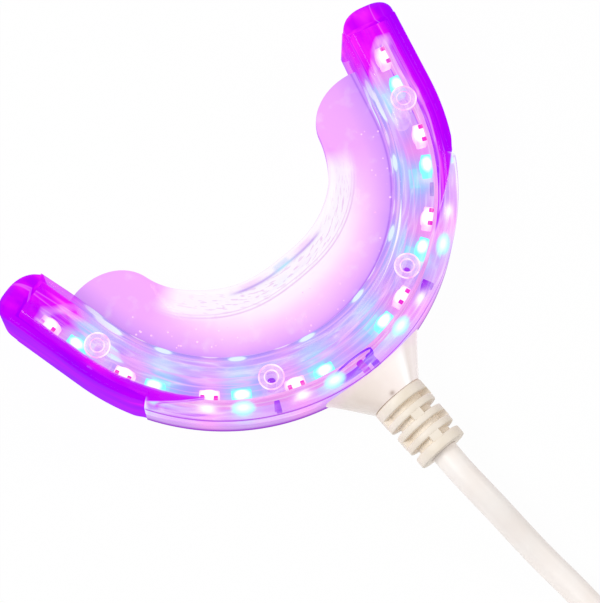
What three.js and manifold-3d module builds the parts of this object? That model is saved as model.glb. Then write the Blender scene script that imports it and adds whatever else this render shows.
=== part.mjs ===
// Teeth whitening light: a clear U-shaped mouthpiece lit by sixteen small lamps, with its stem,
// ribbed strain relief, cord and plug. Millimetres, +Z up. The stem points along -Y, the arms open to +Y.
import * as THREE from 'three';
import { mergeVertices } from 'three/addons/utils/BufferGeometryUtils.js';
import Module from 'manifold-3d';

const wasm = await Module();
wasm.setup();

// Driving dimensions of the arch, seen from above
const frontRadius = 30.9; // outer face of the front housing, from the centre of the arch
const archDepthShare = 1.04; // the arch is a little deeper than a half circle
const armSplay = THREE.MathUtils.degToRad(14.5); // each arm leans outward from straight back
const jointAngle = THREE.MathUtils.degToRad(57); // where the front housing ends and the wings start
const tipLength = 3; // solid end of each arm, past the housing

// Heights
const bodyHeight = 12; // wings and housing
const midHeight = bodyHeight / 2;

// Clearances
const fit = 0.3; // between pieces that slide or curve together
const seat = 0.1; // between flat faces that rest on each other
const overrun = 0.5; // how far a cutting shape passes the face that it cuts

// Walls of the clear housing, from the outside in
const housingWall = 1;
const armWall = 0.6; // the housing's outer wall behind the wings
const wireSpace = 1.5; // behind the lamp strip
const stripThickness = 0.3;
const stripHeight = 4.4;
const windowWall = 0.9; // the wall that the light shines through
const frontRounding = 2.6;
const armRounding = 0.8;
const windowRounding = 0.6;

// Posts that hold the two halves of the housing together
const postRadius = 1.3;
const postBore = 0.75;
const pinRadius = 0.55;
const pinLength = 2.2;
const postRibThickness = 0.7;
const postRibHeight = 1.5;

// Lamps and resistors on the strip
const lampWidth = 2.6;
const lampHeight = 2.6;
const lampDepth = 1.3;
const lampDishRadius = 0.95;
const lampDishDepth = 0.35;
const lampPairs = 4; // on each side of the middle
const firstLampDistance = 5.2; // along the strip from the middle of the arch
const lampPairGap = 4.2;
const lampPitch = 11.4;
const resistorWidth = 1.6;
const resistorHeight = 0.9;
const resistorDepth = 0.5;
const resistorPair = 2; // counted from nought
const resistorDistance = 3.1; // before the blue lamp of that pair
const stripMargin = 0.4;

// Soft mouth tray
const kerbThickness = 0.9;
const kerbHeight = 6.4;
const kerbArmHeight = 10.8;
const kerbTipThickness = 0.5;
const kerbRounding = 0.25;
const plateThickness = 1.8;
const plateFrontRadius = 12.8; // inner edge of the bite plate at the front
const plateSideRadius = 15; // the same edge at the sides
const plateArmLength = 6.1;
const lipHeight = 8.4;
const lipWidth = 1.1;
const lipFlare = 3.3; // how far the lip's foot runs out over the plate
const lipFadeStart = THREE.MathUtils.degToRad(44);
const wingThickness = 1;
const wingRounding = 0.6;
const wingInnerRounding = 0.3;
const tipNarrowing = 1.6; // on the inside, over the length of the tip
const tipLowering = 0.9; // above and below, over the length of the tip
const tipCornerRounding = 0.95;
const tipRounding = 2.2;

// Stem and its wire passage
const stemLength = 4;
const stemBaseWidth = 15.4;
const stemBaseHeight = 8.6;
const stemEndWidth = 7.2;
const stemEndHeight = 7;
const passageWidth = 6.4;
const passageHeight = 4.6;
const stemBore = 4;
const wireDiameter = 1;
const wireSpacing = 1.5;
const wireWave = 0.4; // each wire bends up and down by this inside the stem

// Ribbed strain relief
const reliefLength = 8.7;
const reliefDiameter = 7.4;
const reliefEndDiameter = 6.8;
const reliefCore = 4.9;
const reliefRibs = 5;
const slotShare = 0.46; // part of each rib pitch that the slot takes
const slotBridge = 1.5;

// Cord, coil, tie and plug
const cordDiameter = 3.6;
const coilTurnGap = 0.6; // between neighbouring turns
const coilLayers = 2;
const turnsPerLayer = 4;
const coilMeanRadius = 20.5;
const stepsPerTurn = 24;
const coilSides = 6;
const coilTailTurns = 0.5; // the coil ends this much short of its last turn, at its left side
const climbTurns = 0.5; // the cord climbs to the upper layer in this part of a turn
const tieThickness = 0.8;
const tieWidth = 3.4;
const tieAngle = -Math.PI / 2; // the tie sits at the far side of the coil
const plugBodyLength = 19;
const plugBodyWidth = 15.4;
const plugBodyHeight = 7.8;
const plugBodyRounding = 1.4;
const plugNeckLength = 6;
const plugNeckDiameter = 5.6;
const plugShellLength = 18.6;
const plugShellWidth = 12;
const plugShellHeight = 4.5;
const plugShellWall = 0.35;
const plugTongueThickness = 1.8;
const plugTongueInset = 1.2; // the tongue ends this far inside the mouth
const contactWidth = 1;
const contactThickness = 0.25;
const contactLength = 7;
const contactPitch = 2.2;
const contactCount = 4;

// Route of the free cord from its exit: straight out, down to the floor, and up onto the coil's tie
const cordRoute = [
  [0, 0, 0],
  [0, -3.6, 0],
  [0.2, -6.8, -0.35],
  [0.5, -10, -1.25],
  [0.8, -13.2, -2.5],
  [1.1, -16.4, -3.55],
  [1.4, -19.6, -4.1],
  [1.7, -23, -4.2],
  [1.9, -26.6, -4.2],
  [2.1, -30, -4.2],
  [2.2, -33.4, -4.1],
  [2.3, -36.8, -3.8],
  [2.3, -40, -3.5],
  [2.3, -43.2, -3.32],
  [2.3, -46.8, -3.3],
  [2.3, -50.4, -3.3],
];
// Route of the tail from the end of the coil, down to the plug on the floor
const tailRoute = [
  [0, 0, 0],
  [0, 2, 0],
  [-0.1, 4, -0.3],
  [-0.5, 6.2, -1],
  [-1.1, 8.4, -1.9],
  [-1.6, 10.6, -2.6],
  [-1.9, 12.6, -2.95],
  [-1.9, 14.6, -3],
  [-1.9, 16.6, -3],
];

// Counts of steps, sides and rings
const archSteps = 32;
const frontSteps = 24;
const wingSteps = 6;
const stripSteps = 40;
const cornerSteps = 3;
const smallCornerSteps = 2;
const postSides = 20;
const pinSides = 12;
const ovalSides = 28;
const sleeveSides = 24;
const boreSides = 20;
const wireSides = 8;
const wireSteps = 14;
const cordSides = 8;
const cordSteps = 20;
const tailSteps = 10;

// Places along a piece, as shares of its length
const armShares = [0.3, 0.65, 1];
const kerbShares = [0.25, 0.5, 0.75, 1];
const wingShares = [0.5, 1];
const lobeShares = [0.2, 0.4, 0.57, 0.71, 0.83, 0.92, 0.97];
const tipStraightShares = [0, 0.5];
const tipTurnShares = [0, 0.2, 0.4, 0.6, 0.75, 0.88, 0.96];
const stemShares = [0, 0.2, 0.4, 0.55, 0.7, 0.85, 1];
const wireShares = [0, 0.2, 0.4, 0.6, 0.8, 1];

// Shape of the lip across its width, and of the kerb's rise from the front into the arms
const lipAcrossShares = [0, 0.06, 0.22, 0.45, 0.68, 1];
const lipHeightShares = [0.62, 0.9, 1, 0.62, 0.22, 0];
const kerbRiseShares = [0.75, 1.7];
const stemTaperPower = 0.8;
const stemSquareness = 2.4; // 2 is an ellipse, more is squarer

// Radii that follow from the walls, from the outside in
const frontCavityRadius = frontRadius - housingWall;
const stripBack = frontCavityRadius - wireSpace;
const stripFront = stripBack - stripThickness;
const stripMid = (stripBack + stripFront) / 2;
const lampBack = stripFront - seat;
const postCentre = stripFront - fit - postRadius;
const windowCavityRadius = postCentre - postRadius - fit;
const windowRadius = windowCavityRadius - windowWall;
const armCavityRadius = stripBack + fit;
const armHousingRadius = armCavityRadius + armWall;
const wingInner = armHousingRadius + fit;
const wingOuter = wingInner + wingThickness;
const kerbOuter = windowRadius - fit;
const kerbInner = kerbOuter - kerbThickness;

// The arch turns through this angle on each side before its arms run straight
const archAngle = Math.PI / 2 - armSplay;

// Lengths along the strip and the straight arms
const lastLampDistance = firstLampDistance + (lampPairs - 1) * lampPitch + lampPairGap;
const stripEnd = lastLampDistance + lampWidth / 2 + stripMargin;
const housingArmLength = stripEnd - stripMid * archAngle + fit + housingWall;
const tipStart = housingArmLength + 2 * fit;
const lampDistances = Array.from({ length: lampPairs }, (_, pair) => firstLampDistance + pair * lampPitch);

// The posts stand beside the lamps: one past the first red lamp, one before the last blue lamp
const postReach = (postRadius * stripMid) / postCentre + lampWidth / 2 + fit;
const frontPostAngle = (lampDistances[0] + lampPairGap + postReach) / stripMid;
const armPostAngle = (lampDistances[lampPairs - 1] - postReach) / stripMid;
const armLength = tipStart + tipLength;

// Materials
const finish = (color, roughness, metalness = 0, opacity = 1) =>
  new THREE.MeshStandardMaterial({ color, roughness, metalness, opacity, transparent: opacity < 1 });
const clearTray = finish('#d79cf5', 0.2, 0, 0.55);
const clearHousing = finish('#cdb4fb', 0.12, 0, 0.4);
const stripFinish = finish('#f6c3ee', 0.6);
const redLamp = finish('#ff8fd8', 0.3);
const blueLamp = finish('#9ef2ff', 0.3);
const chipFinish = finish('#6c62a8', 0.5);
const stemFinish = finish('#efe6e0', 0.35, 0, 0.9);
const reliefFinish = finish('#e4dbc9', 0.6);
const cordFinish = finish('#efe8e1', 0.5);
const redWire = finish('#b3332b', 0.5);
const blackWire = finish('#26262a', 0.5);
const tieFinish = finish('#e9e7e2', 0.6);
const steel = finish('#c6c8cb', 0.25, 1);
const tongueFinish = finish('#f2f2f0', 0.5);
const gold = finish('#d9b25a', 0.3, 1);

const model = new THREE.Group();
const body = new THREE.Group(); // everything but the free cord and its plug
model.add(body);

// Solids and meshes

function solidOf(geometry) {
  const bare = geometry.clone();
  bare.deleteAttribute('normal');
  bare.deleteAttribute('uv');
  const merged = mergeVertices(bare);
  return new wasm.Manifold(new wasm.Mesh({
    numProp: 3,
    vertProperties: new Float32Array(merged.attributes.position.array),
    triVerts: new Uint32Array(merged.index.array),
  }));
}

function geometryOf(solid) {
  const mesh = solid.getMesh();
  const geometry = new THREE.BufferGeometry();
  geometry.setAttribute('position', new THREE.BufferAttribute(new Float32Array(mesh.vertProperties), 3));
  geometry.setIndex(new THREE.BufferAttribute(new Uint32Array(mesh.triVerts), 1));
  geometry.computeVertexNormals();
  return geometry;
}

function joined(...solids) {
  return solids.reduce((whole, part) => whole.add(part));
}

function addPiece(name, shape, material, group = body) {
  const geometry = shape.isBufferGeometry ? shape : geometryOf(shape);
  const mesh = new THREE.Mesh(geometry, material);
  mesh.name = name;
  group.add(mesh);
  return mesh;
}

// Turns a closed surface the right way out: a wrong-way surface has a negative volume
function facingOut(positions, triangles) {
  const [a, b, c] = [new THREE.Vector3(), new THREE.Vector3(), new THREE.Vector3()];
  let volume = 0;
  for (const [i, j, k] of triangles) {
    a.fromArray(positions[i]);
    b.fromArray(positions[j]);
    c.fromArray(positions[k]);
    volume += a.dot(b.cross(c));
  }
  const order = volume < 0 ? triangles.map(([i, j, k]) => [i, k, j]) : triangles;
  const geometry = new THREE.BufferGeometry();
  geometry.setAttribute('position', new THREE.Float32BufferAttribute(positions.flat(), 3));
  geometry.setIndex(order.flat());
  geometry.computeVertexNormals();
  return geometry;
}

// Skin over a row of closed rings with equal counts; each end is closed from its own middle point
function skinnedRings(rings) {
  const count = rings[0].length;
  const last = (rings.length - 1) * count;
  const positions = rings.flat();
  const triangles = [];
  for (let ring = 0; ring + 1 < rings.length; ring += 1) {
    for (let i = 0; i < count; i += 1) {
      const [a, b] = [ring * count + i, ring * count + ((i + 1) % count)];
      triangles.push([a, b, a + count], [b, b + count, a + count]);
    }
  }
  for (const [start, ring] of [[0, rings[0]], [last, rings[rings.length - 1]]]) {
    const middle = positions.length;
    positions.push([0, 1, 2].map((axis) => ring.reduce((sum, point) => sum + point[axis], 0) / count));
    for (let i = 0; i < count; i += 1) {
      const [a, b] = [start + i, start + ((i + 1) % count)];
      triangles.push(start === 0 ? [b, a, middle] : [a, b, middle]);
    }
  }
  return facingOut(positions, triangles);
}

// Places on the arch

// A point of the plan: angle from the front, distance along the straight arm, radius
function planPoint({ angle, along = 0 }, radius) {
  const side = angle < 0 ? -1 : 1;
  return [
    Math.sin(angle) * radius + side * Math.sin(armSplay) * along,
    archDepthShare * (-Math.cos(angle) * radius + Math.cos(armSplay) * along),
  ];
}

// The place that lies a path length away from the middle, measured at a radius
function placeAt(distance, radius) {
  const side = Math.sign(distance) || 1;
  const length = Math.abs(distance);
  const arcLength = radius * archAngle;
  if (length <= arcLength) return { angle: distance / radius };
  return { angle: side * archAngle, along: length - arcLength };
}

function arcPlaces(from, to, steps) {
  return Array.from({ length: steps + 1 }, (_, i) => ({ angle: from + ((to - from) * i) / steps }));
}

function armPlaces(side, lengths) {
  return lengths.map((along) => ({ angle: side * archAngle, along }));
}

// Both arms and the arch between them, from the left tip to the right tip
function archPlaces(lengths, steps) {
  const outward = armPlaces(1, lengths);
  const inward = armPlaces(-1, lengths).reverse();
  return [...inward, ...arcPlaces(-archAngle, archAngle, steps), ...outward];
}

// Sections in radius and height

// A rectangle with its inner and outer corners rounded by their own radii
function roundedSection(inner, outer, low, high, innerRounding, outerRounding, steps) {
  const points = [];
  const corner = (radius, height, rounding, start) => {
    for (let i = 0; i <= steps; i += 1) {
      const turn = start + (Math.PI / 2) * (i / steps);
      points.push([radius + rounding * Math.cos(turn), height + rounding * Math.sin(turn)]);
    }
  };
  corner(outer - outerRounding, high - outerRounding, outerRounding, 0);
  corner(inner + innerRounding, high - innerRounding, innerRounding, Math.PI / 2);
  corner(inner + innerRounding, low + innerRounding, innerRounding, Math.PI);
  corner(outer - outerRounding, low + outerRounding, outerRounding, -Math.PI / 2);
  return points;
}

// Sweeps a section along places of the arch; sectionAt gives the section of each place
function sweep(places, sectionAt) {
  const sections = places.map((place, i) => sectionAt(place, i));
  const rings = sections.map((section, i) => section.map(([radius, height]) => {
    const [x, y] = planPoint(places[i], radius);
    return [x, y, height];
  }));
  return solidOf(skinnedRings(rings));
}

function box(width, depth, height, x, y, z) {
  return solidOf(new THREE.BoxGeometry(width, depth, height).translate(x, y, z));
}

function post(place, radius, low, high, sides = postSides) {
  const [x, y] = planPoint(place, postCentre);
  const shape = new THREE.CylinderGeometry(radius, radius, high - low, sides);
  return solidOf(shape.rotateX(Math.PI / 2).translate(x, y, (low + high) / 2));
}

// Clear housing

// The housing's outline as one block, grown by a margin on every side
function housingBlock(margin = 0) {
  const low = -margin;
  const high = bodyHeight + margin;
  const inner = windowRadius - margin;
  const frontAngle = jointAngle + margin / frontRadius;
  const front = sweep(arcPlaces(-frontAngle, frontAngle, frontSteps), () =>
    roundedSection(inner, frontRadius + margin, low, high, windowRounding, frontRounding, cornerSteps));
  const lengths = armShares.map((share) => share * housingArmLength + margin);
  const outer = armHousingRadius + margin;
  const whole = sweep(archPlaces(lengths, archSteps), () =>
    roundedSection(inner, outer, low, high, windowRounding, armRounding, smallCornerSteps));
  return joined(front, whole);
}

function housingCavity() {
  const low = housingWall;
  const high = bodyHeight - housingWall;
  const inner = windowCavityRadius;
  const insetAngle = jointAngle - housingWall / frontRadius;
  const frontCorner = frontRounding - housingWall;
  const front = sweep(arcPlaces(-insetAngle, insetAngle, frontSteps), () =>
    roundedSection(inner, frontCavityRadius, low, high, windowRounding, frontCorner, cornerSteps));
  const lengths = armShares.map((share) => share * (housingArmLength - housingWall));
  const whole = sweep(archPlaces(lengths, archSteps), () =>
    roundedSection(inner, armCavityRadius, low, high, windowRounding, windowRounding, smallCornerSteps));
  return joined(front, whole);
}

function stadium(width, height, length, x, y, z) {
  const round = Math.min(width, height) / 2;
  const shape = new THREE.Shape();
  shape.absarc(width / 2 - round, 0, round, -Math.PI / 2, Math.PI / 2);
  shape.absarc(round - width / 2, 0, round, Math.PI / 2, Math.PI * 1.5);
  const solid = new THREE.ExtrudeGeometry(shape, { depth: length, bevelEnabled: false, curveSegments: 8 });
  return solidOf(solid.rotateX(Math.PI / 2).translate(x, y, z));
}

const postPlaces = [-armPostAngle, -frontPostAngle, frontPostAngle, armPostAngle].map((angle) => ({ angle }));
const frontFace = archDepthShare * frontRadius; // distance of the front face from the arch's centre

function housingShells() {
  const passage = stadium(
    passageWidth, passageHeight, frontFace, 0, -archDepthShare * armCavityRadius, midHeight,
  );
  const hollow = housingBlock().subtract(housingCavity()).subtract(passage);
  const span = 4 * wingOuter;
  const roof = bodyHeight - housingWall;

  const upperPosts = postPlaces.map((place) => post(place, postRadius, midHeight + seat / 2, roof + seat));
  const pins = postPlaces.map((place) =>
    post(place, pinRadius, midHeight - pinLength, midHeight + seat, pinSides));
  const ribs = [-frontPostAngle, frontPostAngle].map((angle) => {
    const length = frontCavityRadius - postCentre + seat;
    const rib = new THREE.BoxGeometry(postRibThickness, length, postRibHeight + seat);
    const [x, y] = planPoint({ angle }, postCentre + length / 2);
    return solidOf(rib.rotateZ(angle).translate(x, y, roof - (postRibHeight - seat) / 2));
  });
  const upperHalf = hollow.intersect(box(span, span, midHeight, 0, 0, (midHeight + bodyHeight + seat) / 2));
  const upper = joined(upperHalf, ...upperPosts, ...pins, ...ribs);

  const lowerPosts = postPlaces.map((place) =>
    post(place, postRadius, housingWall - seat, midHeight - seat / 2));
  const lowerHalf = hollow.intersect(box(span, span, midHeight, 0, 0, (midHeight - seat) / 2));
  const bores = postPlaces.map((place) =>
    post(place, postBore, midHeight - pinLength - fit, midHeight + overrun, pinSides));
  const lower = joined(lowerHalf, ...lowerPosts).subtract(joined(...bores));
  return { upper, lower };
}

// Lamp strip

function lampStrip() {
  const places = Array.from({ length: stripSteps + 1 }, (_, i) =>
    placeAt(stripEnd * ((2 * i) / stripSteps - 1), stripMid));
  const low = midHeight - stripHeight / 2;
  return sweep(places, () => [
    [stripFront, low], [stripBack, low], [stripBack, low + stripHeight], [stripFront, low + stripHeight],
  ]);
}

// Turns a shape made at the arch's front to face the middle of the arch from its own place
function onStrip(geometry, distance, depth) {
  const place = placeAt(distance, stripMid);
  const [x, y] = planPoint(place, lampBack - chordSag - depth / 2);
  return geometry.rotateZ(place.angle).translate(x, y, midHeight);
}

const chordSag = lampWidth ** 2 / (8 * stripFront); // a flat lamp stands off the curved strip by this

function lampSolid(distance) {
  const shape = new THREE.BoxGeometry(lampWidth, lampDepth, lampHeight);
  const dish = new THREE.CylinderGeometry(lampDishRadius, lampDishRadius, 2 * lampDishDepth, pinSides);
  const lamp = solidOf(shape).subtract(solidOf(dish.translate(0, lampDepth / 2, 0)));
  return onStrip(geometryOf(lamp), distance, lampDepth);
}

// Mouth tray

// Inner edge of the bite plate: nearly round at the front, then a rounded lobe in each arm
function plateEdge({ angle, along = 0 }) {
  const rise = Math.sin(Math.abs(angle)) / Math.sin(archAngle);
  const edge = plateFrontRadius + (plateSideRadius - plateFrontRadius) * rise;
  const lobe = 1 - Math.sqrt(1 - Math.min(along / plateArmLength, 1) ** 2);
  return edge + (kerbInner - plateSideRadius) * lobe;
}

// How much of the lip stands at a place: all of it round the front, none in the arms
function lipAmount({ angle }) {
  const turn = (Math.abs(angle) - lipFadeStart) / (archAngle - lipFadeStart);
  return 1 - THREE.MathUtils.smoothstep(turn, 0, 1);
}

// Section of the plate with its raised inner lip; offsets run from the lip's inner face
function plateSection(place) {
  const edge = plateEdge(place);
  const amount = lipAmount(place);
  const half = plateThickness / 2;
  const crest = half + (lipHeight / 2 - half) * amount;
  const flare = lipWidth + lipFlare * amount;
  const upper = lipAcrossShares.map((share, i) => [
    edge + Math.min(share * flare, kerbOuter - overrun - edge),
    half * (i === 0 ? lipHeightShares[0] : 1) + (crest - half) * lipHeightShares[i],
  ]);
  const lower = upper.map(([radius, height]) => [radius, -height]).reverse();
  const root = kerbOuter - kerbThickness / 2;
  return [...lower, ...upper, [root, half], [root, -half]]
    .map(([radius, height]) => [radius, midHeight + height]);
}

function mouthTray() {
  const plate = sweep(archPlaces(lobeShares.map((share) => share * plateArmLength), archSteps), plateSection);

  const kerbLengths = kerbShares.map((share) => share * (tipStart + overrun));
  const kerb = sweep(archPlaces(kerbLengths, archSteps), ({ angle, along = 0 }) => {
    const progress = Math.abs(angle) / archAngle + along / tipStart;
    const rise = THREE.MathUtils.smoothstep(progress, ...kerbRiseShares);
    const half = THREE.MathUtils.lerp(kerbHeight, kerbArmHeight, rise) / 2;
    const thinning = Math.min(along / tipStart, 1);
    const inner = kerbOuter - THREE.MathUtils.lerp(kerbThickness, kerbTipThickness, thinning);
    return roundedSection(
      inner, kerbOuter, midHeight - half, midHeight + half, kerbRounding, kerbRounding, smallCornerSteps,
    );
  });

  const wingSection = () =>
    roundedSection(wingInner, wingOuter, 0, bodyHeight, wingInnerRounding, wingRounding, cornerSteps);
  const wingLengths = wingShares.map((share) => share * (tipStart + overrun));
  const arms = [-1, 1].map((side) => {
    const start = jointAngle + fit / frontRadius;
    const arc = arcPlaces(side * start, side * archAngle, wingSteps);
    const wing = sweep([...arc, ...armPlaces(side, wingLengths)], wingSection);
    const tip = sweep(tipPlaces(side), tipSection);
    return wing.add(tip);
  });
  return joined(plate, kerb, ...arms);
}

// Solid end of each arm: it narrows on the inside and is rounded off at its end
function tipPlaces(side) {
  const roundStart = armLength - tipRounding;
  const straight = tipStraightShares.map((share) => tipStart + share * (roundStart - tipStart));
  const round = tipTurnShares.map((share) => roundStart + tipRounding * Math.sin((share * Math.PI) / 2));
  return armPlaces(side, [...straight, ...round]);
}

function tipSection({ along }) {
  const progress = (along - tipStart) / tipLength;
  const reach = Math.max(along - (armLength - tipRounding), 0) / tipRounding;
  const inset = tipRounding * (1 - Math.sqrt(1 - reach ** 2));
  const inner = kerbOuter - kerbTipThickness + tipNarrowing * progress + inset;
  const low = inset + tipLowering * progress;
  return roundedSection(
    inner, wingOuter - inset, low, bodyHeight - low, tipCornerRounding, tipCornerRounding, cornerSteps,
  );
}

// Stem between the housing and the strain relief

function ovalRing(width, height, y, count = ovalSides, squareness = stemSquareness) {
  return Array.from({ length: count }, (_, i) => {
    const turn = (2 * Math.PI * i) / count;
    const [c, s] = [Math.cos(turn), Math.sin(turn)];
    const x = (width / 2) * Math.sign(c) * Math.abs(c) ** (2 / squareness);
    const z = (height / 2) * Math.sign(s) * Math.abs(s) ** (2 / squareness);
    return [x, y, midHeight + z];
  });
}

function loft(rings) {
  return solidOf(skinnedRings(rings));
}

const stemEnd = frontFace + fit + stemLength;

function stem() {
  const start = frontFace - housingWall;
  const rings = stemShares.map((share) => {
    const taper = share ** stemTaperPower;
    return ovalRing(
      THREE.MathUtils.lerp(stemBaseWidth, stemEndWidth, taper),
      THREE.MathUtils.lerp(stemBaseHeight, stemEndHeight, taper),
      -THREE.MathUtils.lerp(start, stemEnd, share),
    );
  });
  const bore = [0, 1].map((share) => ovalRing(
    THREE.MathUtils.lerp(passageWidth, stemBore, share),
    THREE.MathUtils.lerp(passageHeight, stemBore, share),
    -THREE.MathUtils.lerp(start - overrun, stemEnd + overrun, share),
    boreSides, 2,
  ));
  return loft(rings).subtract(loft(bore)).subtract(housingBlock(fit));
}

// Tube along a curve, with closed ends

function tube(curve, diameter, steps, sides) {
  const section = new THREE.Shape();
  for (let i = 0; i < sides; i += 1) {
    const turn = (2 * Math.PI * (i + 0.5)) / sides;
    const [x, y] = [(diameter / 2) * Math.cos(turn), (diameter / 2) * Math.sin(turn)];
    if (i === 0) section.moveTo(x, y);
    else section.lineTo(x, y);
  }
  section.closePath();
  return new THREE.ExtrudeGeometry(section, { steps, extrudePath: curve, bevelEnabled: false });
}

function curveThrough(points) {
  return new THREE.CatmullRomCurve3(points.map((point) => new THREE.Vector3(...point)), false, 'centripetal');
}

function wire(x) {
  const start = -archDepthShare * stripBack - fit;
  const end = -stemEnd + fit;
  const points = wireShares.map((share) => [
    x, THREE.MathUtils.lerp(start, end, share), midHeight + wireWave * Math.sin(share * Math.PI * 2),
  ]);
  return tube(curveThrough(points), wireDiameter, wireSteps, wireSides);
}

// Strain relief: a tapered sleeve with slots cut in turn from the sides and from above and below

const reliefStart = stemEnd + seat;
const reliefEnd = reliefStart + reliefLength;

function strainRelief() {
  const profile = [
    [0, 0],
    [reliefDiameter / 2, 0],
    [reliefEndDiameter / 2, reliefLength],
    [0, reliefLength],
  ].map(([x, y]) => new THREE.Vector2(x, y));
  const sleeve = solidOf(new THREE.LatheGeometry(profile, sleeveSides));
  const pitch = reliefLength / reliefRibs;
  const slotWidth = pitch * slotShare;
  const coreShape = new THREE.CylinderGeometry(reliefCore / 2, reliefCore / 2, reliefLength, boreSides);
  const core = solidOf(coreShape.translate(0, reliefLength / 2, 0));
  const slots = [];
  for (let i = 1; i < reliefRibs; i += 1) {
    const bridge = new THREE.BoxGeometry(2 * reliefDiameter, slotWidth, 2 * reliefDiameter);
    const keep = new THREE.BoxGeometry(slotBridge, 2 * slotWidth, 2 * reliefDiameter);
    const place = (shape) => shape.rotateY(i % 2 ? Math.PI / 2 : 0).translate(0, i * pitch, 0);
    slots.push(solidOf(place(bridge)).subtract(solidOf(place(keep))).subtract(core));
  }
  const relief = geometryOf(sleeve.subtract(joined(...slots)));
  return relief.rotateZ(Math.PI).translate(0, -reliefStart, midHeight);
}

// The pieces of the light itself

const { upper, lower } = housingShells();
addPiece('upper_shell', upper, clearHousing);
addPiece('lower_shell', lower, clearHousing);
addPiece('mouth_tray', mouthTray(), clearTray);
addPiece('led_strip', lampStrip(), stripFinish);
for (const [sideName, side] of [['left', -1], ['right', 1]]) {
  lampDistances.forEach((distance, pair) => {
    addPiece(`led_blue_${sideName}_${pair + 1}`, lampSolid(side * distance), blueLamp);
    addPiece(`led_red_${sideName}_${pair + 1}`, lampSolid(side * (distance + lampPairGap)), redLamp);
  });
  const chip = new THREE.BoxGeometry(resistorWidth, resistorDepth, resistorHeight);
  const chipPlace = side * (lampDistances[resistorPair] - resistorDistance);
  addPiece(`resistor_${sideName}`, onStrip(chip, chipPlace, resistorDepth), chipFinish);
}
addPiece('stem', stem(), stemFinish);
addPiece('strain_relief', strainRelief(), reliefFinish);
addPiece('wire_red', wire(-wireSpacing / 2), redWire);
addPiece('wire_black', wire(wireSpacing / 2), blackWire);

// Free cord, its coil and its plug, placed from the end of the strain relief

const cord = new THREE.Group();
cord.position.set(0, -reliefEnd - fit, midHeight);
model.add(cord);

const routeEnd = cordRoute[cordRoute.length - 1];
const layerRise = cordDiameter + coilTurnGap;
const coilSpread = turnsPerLayer * layerRise;
const coilOuter = coilMeanRadius + coilSpread / 2;
// the coil starts at its right side, one straight diameter past the end of the free cord
const coilCentre = [routeEnd[0] - coilOuter, routeEnd[1] - fit - cordDiameter, routeEnd[2]];

// One point of the coil: it spirals in, climbs a layer in the half turn where it reverses, and spirals out
function coilPoint(turns) {
  const layer = Math.min(Math.floor(turns / turnsPerLayer), coilLayers - 1);
  const within = turns / turnsPerLayer - layer;
  const inward = layer % 2 === 0 ? within : 1 - within;
  const radius = coilOuter - coilSpread * inward;
  const climbStart = turnsPerLayer - climbTurns / 2;
  const climb = THREE.MathUtils.smoothstep(turns, climbStart, climbStart + climbTurns);
  const angle = -2 * Math.PI * turns;
  return [
    coilCentre[0] + radius * Math.cos(angle),
    coilCentre[1] + radius * Math.sin(angle),
    coilCentre[2] + layerRise * climb,
  ];
}

const coilTurns = coilLayers * turnsPerLayer - coilTailTurns;
const coilSteps = Math.round(coilTurns * stepsPerTurn);
const coilPath = Array.from({ length: coilSteps + 1 }, (_, i) => coilPoint((coilTurns * i) / coilSteps));
const [coilFirst, coilLast] = [coilPath[0], coilPath[coilSteps]];
// straight ends, one diameter long: the cord comes in along -Y and leaves along +Y
coilPath.unshift([coilFirst[0], coilFirst[1] + cordDiameter, coilFirst[2]]);
coilPath.push([coilLast[0], coilLast[1] + cordDiameter, coilLast[2]]);

// A tube over points, its section kept upright, with closed ends
function tubeOver(points, diameter, sides) {
  const vectors = points.map((point) => new THREE.Vector3(...point));
  const up = new THREE.Vector3(0, 0, 1);
  const rings = vectors.map((point, i) => {
    const before = vectors[Math.max(i - 1, 0)];
    const after = vectors[Math.min(i + 1, vectors.length - 1)];
    const along = after.clone().sub(before).normalize();
    const across = along.clone().cross(up).normalize();
    const over = across.clone().cross(along);
    return Array.from({ length: sides }, (_, k) => {
      const turn = (2 * Math.PI * (k + 0.5)) / sides;
      return point.clone()
        .addScaledVector(across, (diameter / 2) * Math.cos(turn))
        .addScaledVector(over, (diameter / 2) * Math.sin(turn)).toArray();
    });
  });
  return skinnedRings(rings);
}

// Least distance between turns of the coil, surface to surface
function coilSelfGap(points, diameter) {
  let least = Infinity;
  const apart = Math.round(stepsPerTurn / 2);
  for (let i = 0; i < points.length; i += 1) {
    for (let j = i + apart; j < points.length; j += 1) {
      const distance = Math.hypot(...points[i].map((value, axis) => value - points[j][axis]));
      least = Math.min(least, distance - diameter);
    }
  }
  return least;
}
console.log(`coil: least gap to itself ${coilSelfGap(coilPath, cordDiameter).toFixed(2)} mm`);

addPiece('cord_coil', tubeOver(coilPath, cordDiameter, coilSides), cordFinish, cord);

addPiece('cord_run', tube(curveThrough(cordRoute), cordDiameter, cordSteps, cordSides), cordFinish, cord);

// Tie round the coil: a closed band over both layers
const tieInside = cordDiameter / 2 + seat;
const tieLow = coilCentre[2] - tieInside;
const tieHigh = coilCentre[2] + (coilLayers - 1) * layerRise + tieInside;
const tieNear = coilOuter - coilSpread - tieInside;
const tieFar = coilOuter + tieInside;

function coilTie() {
  const outline = (grow) => {
    const shape = new THREE.Shape();
    shape.moveTo(tieNear - grow, tieLow - grow);
    shape.lineTo(tieFar + grow, tieLow - grow);
    shape.lineTo(tieFar + grow, tieHigh + grow);
    shape.lineTo(tieNear - grow, tieHigh + grow);
    shape.closePath();
    return shape;
  };
  const band = outline(tieThickness);
  band.holes.push(outline(0));
  const geometry = new THREE.ExtrudeGeometry(band, { depth: tieWidth, bevelEnabled: false });
  geometry.translate(0, 0, -tieWidth / 2).rotateX(Math.PI / 2).rotateZ(tieAngle);
  return geometry.translate(coilCentre[0], coilCentre[1], 0);
}
addPiece('cord_tie', coilTie(), tieFinish, cord);

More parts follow.
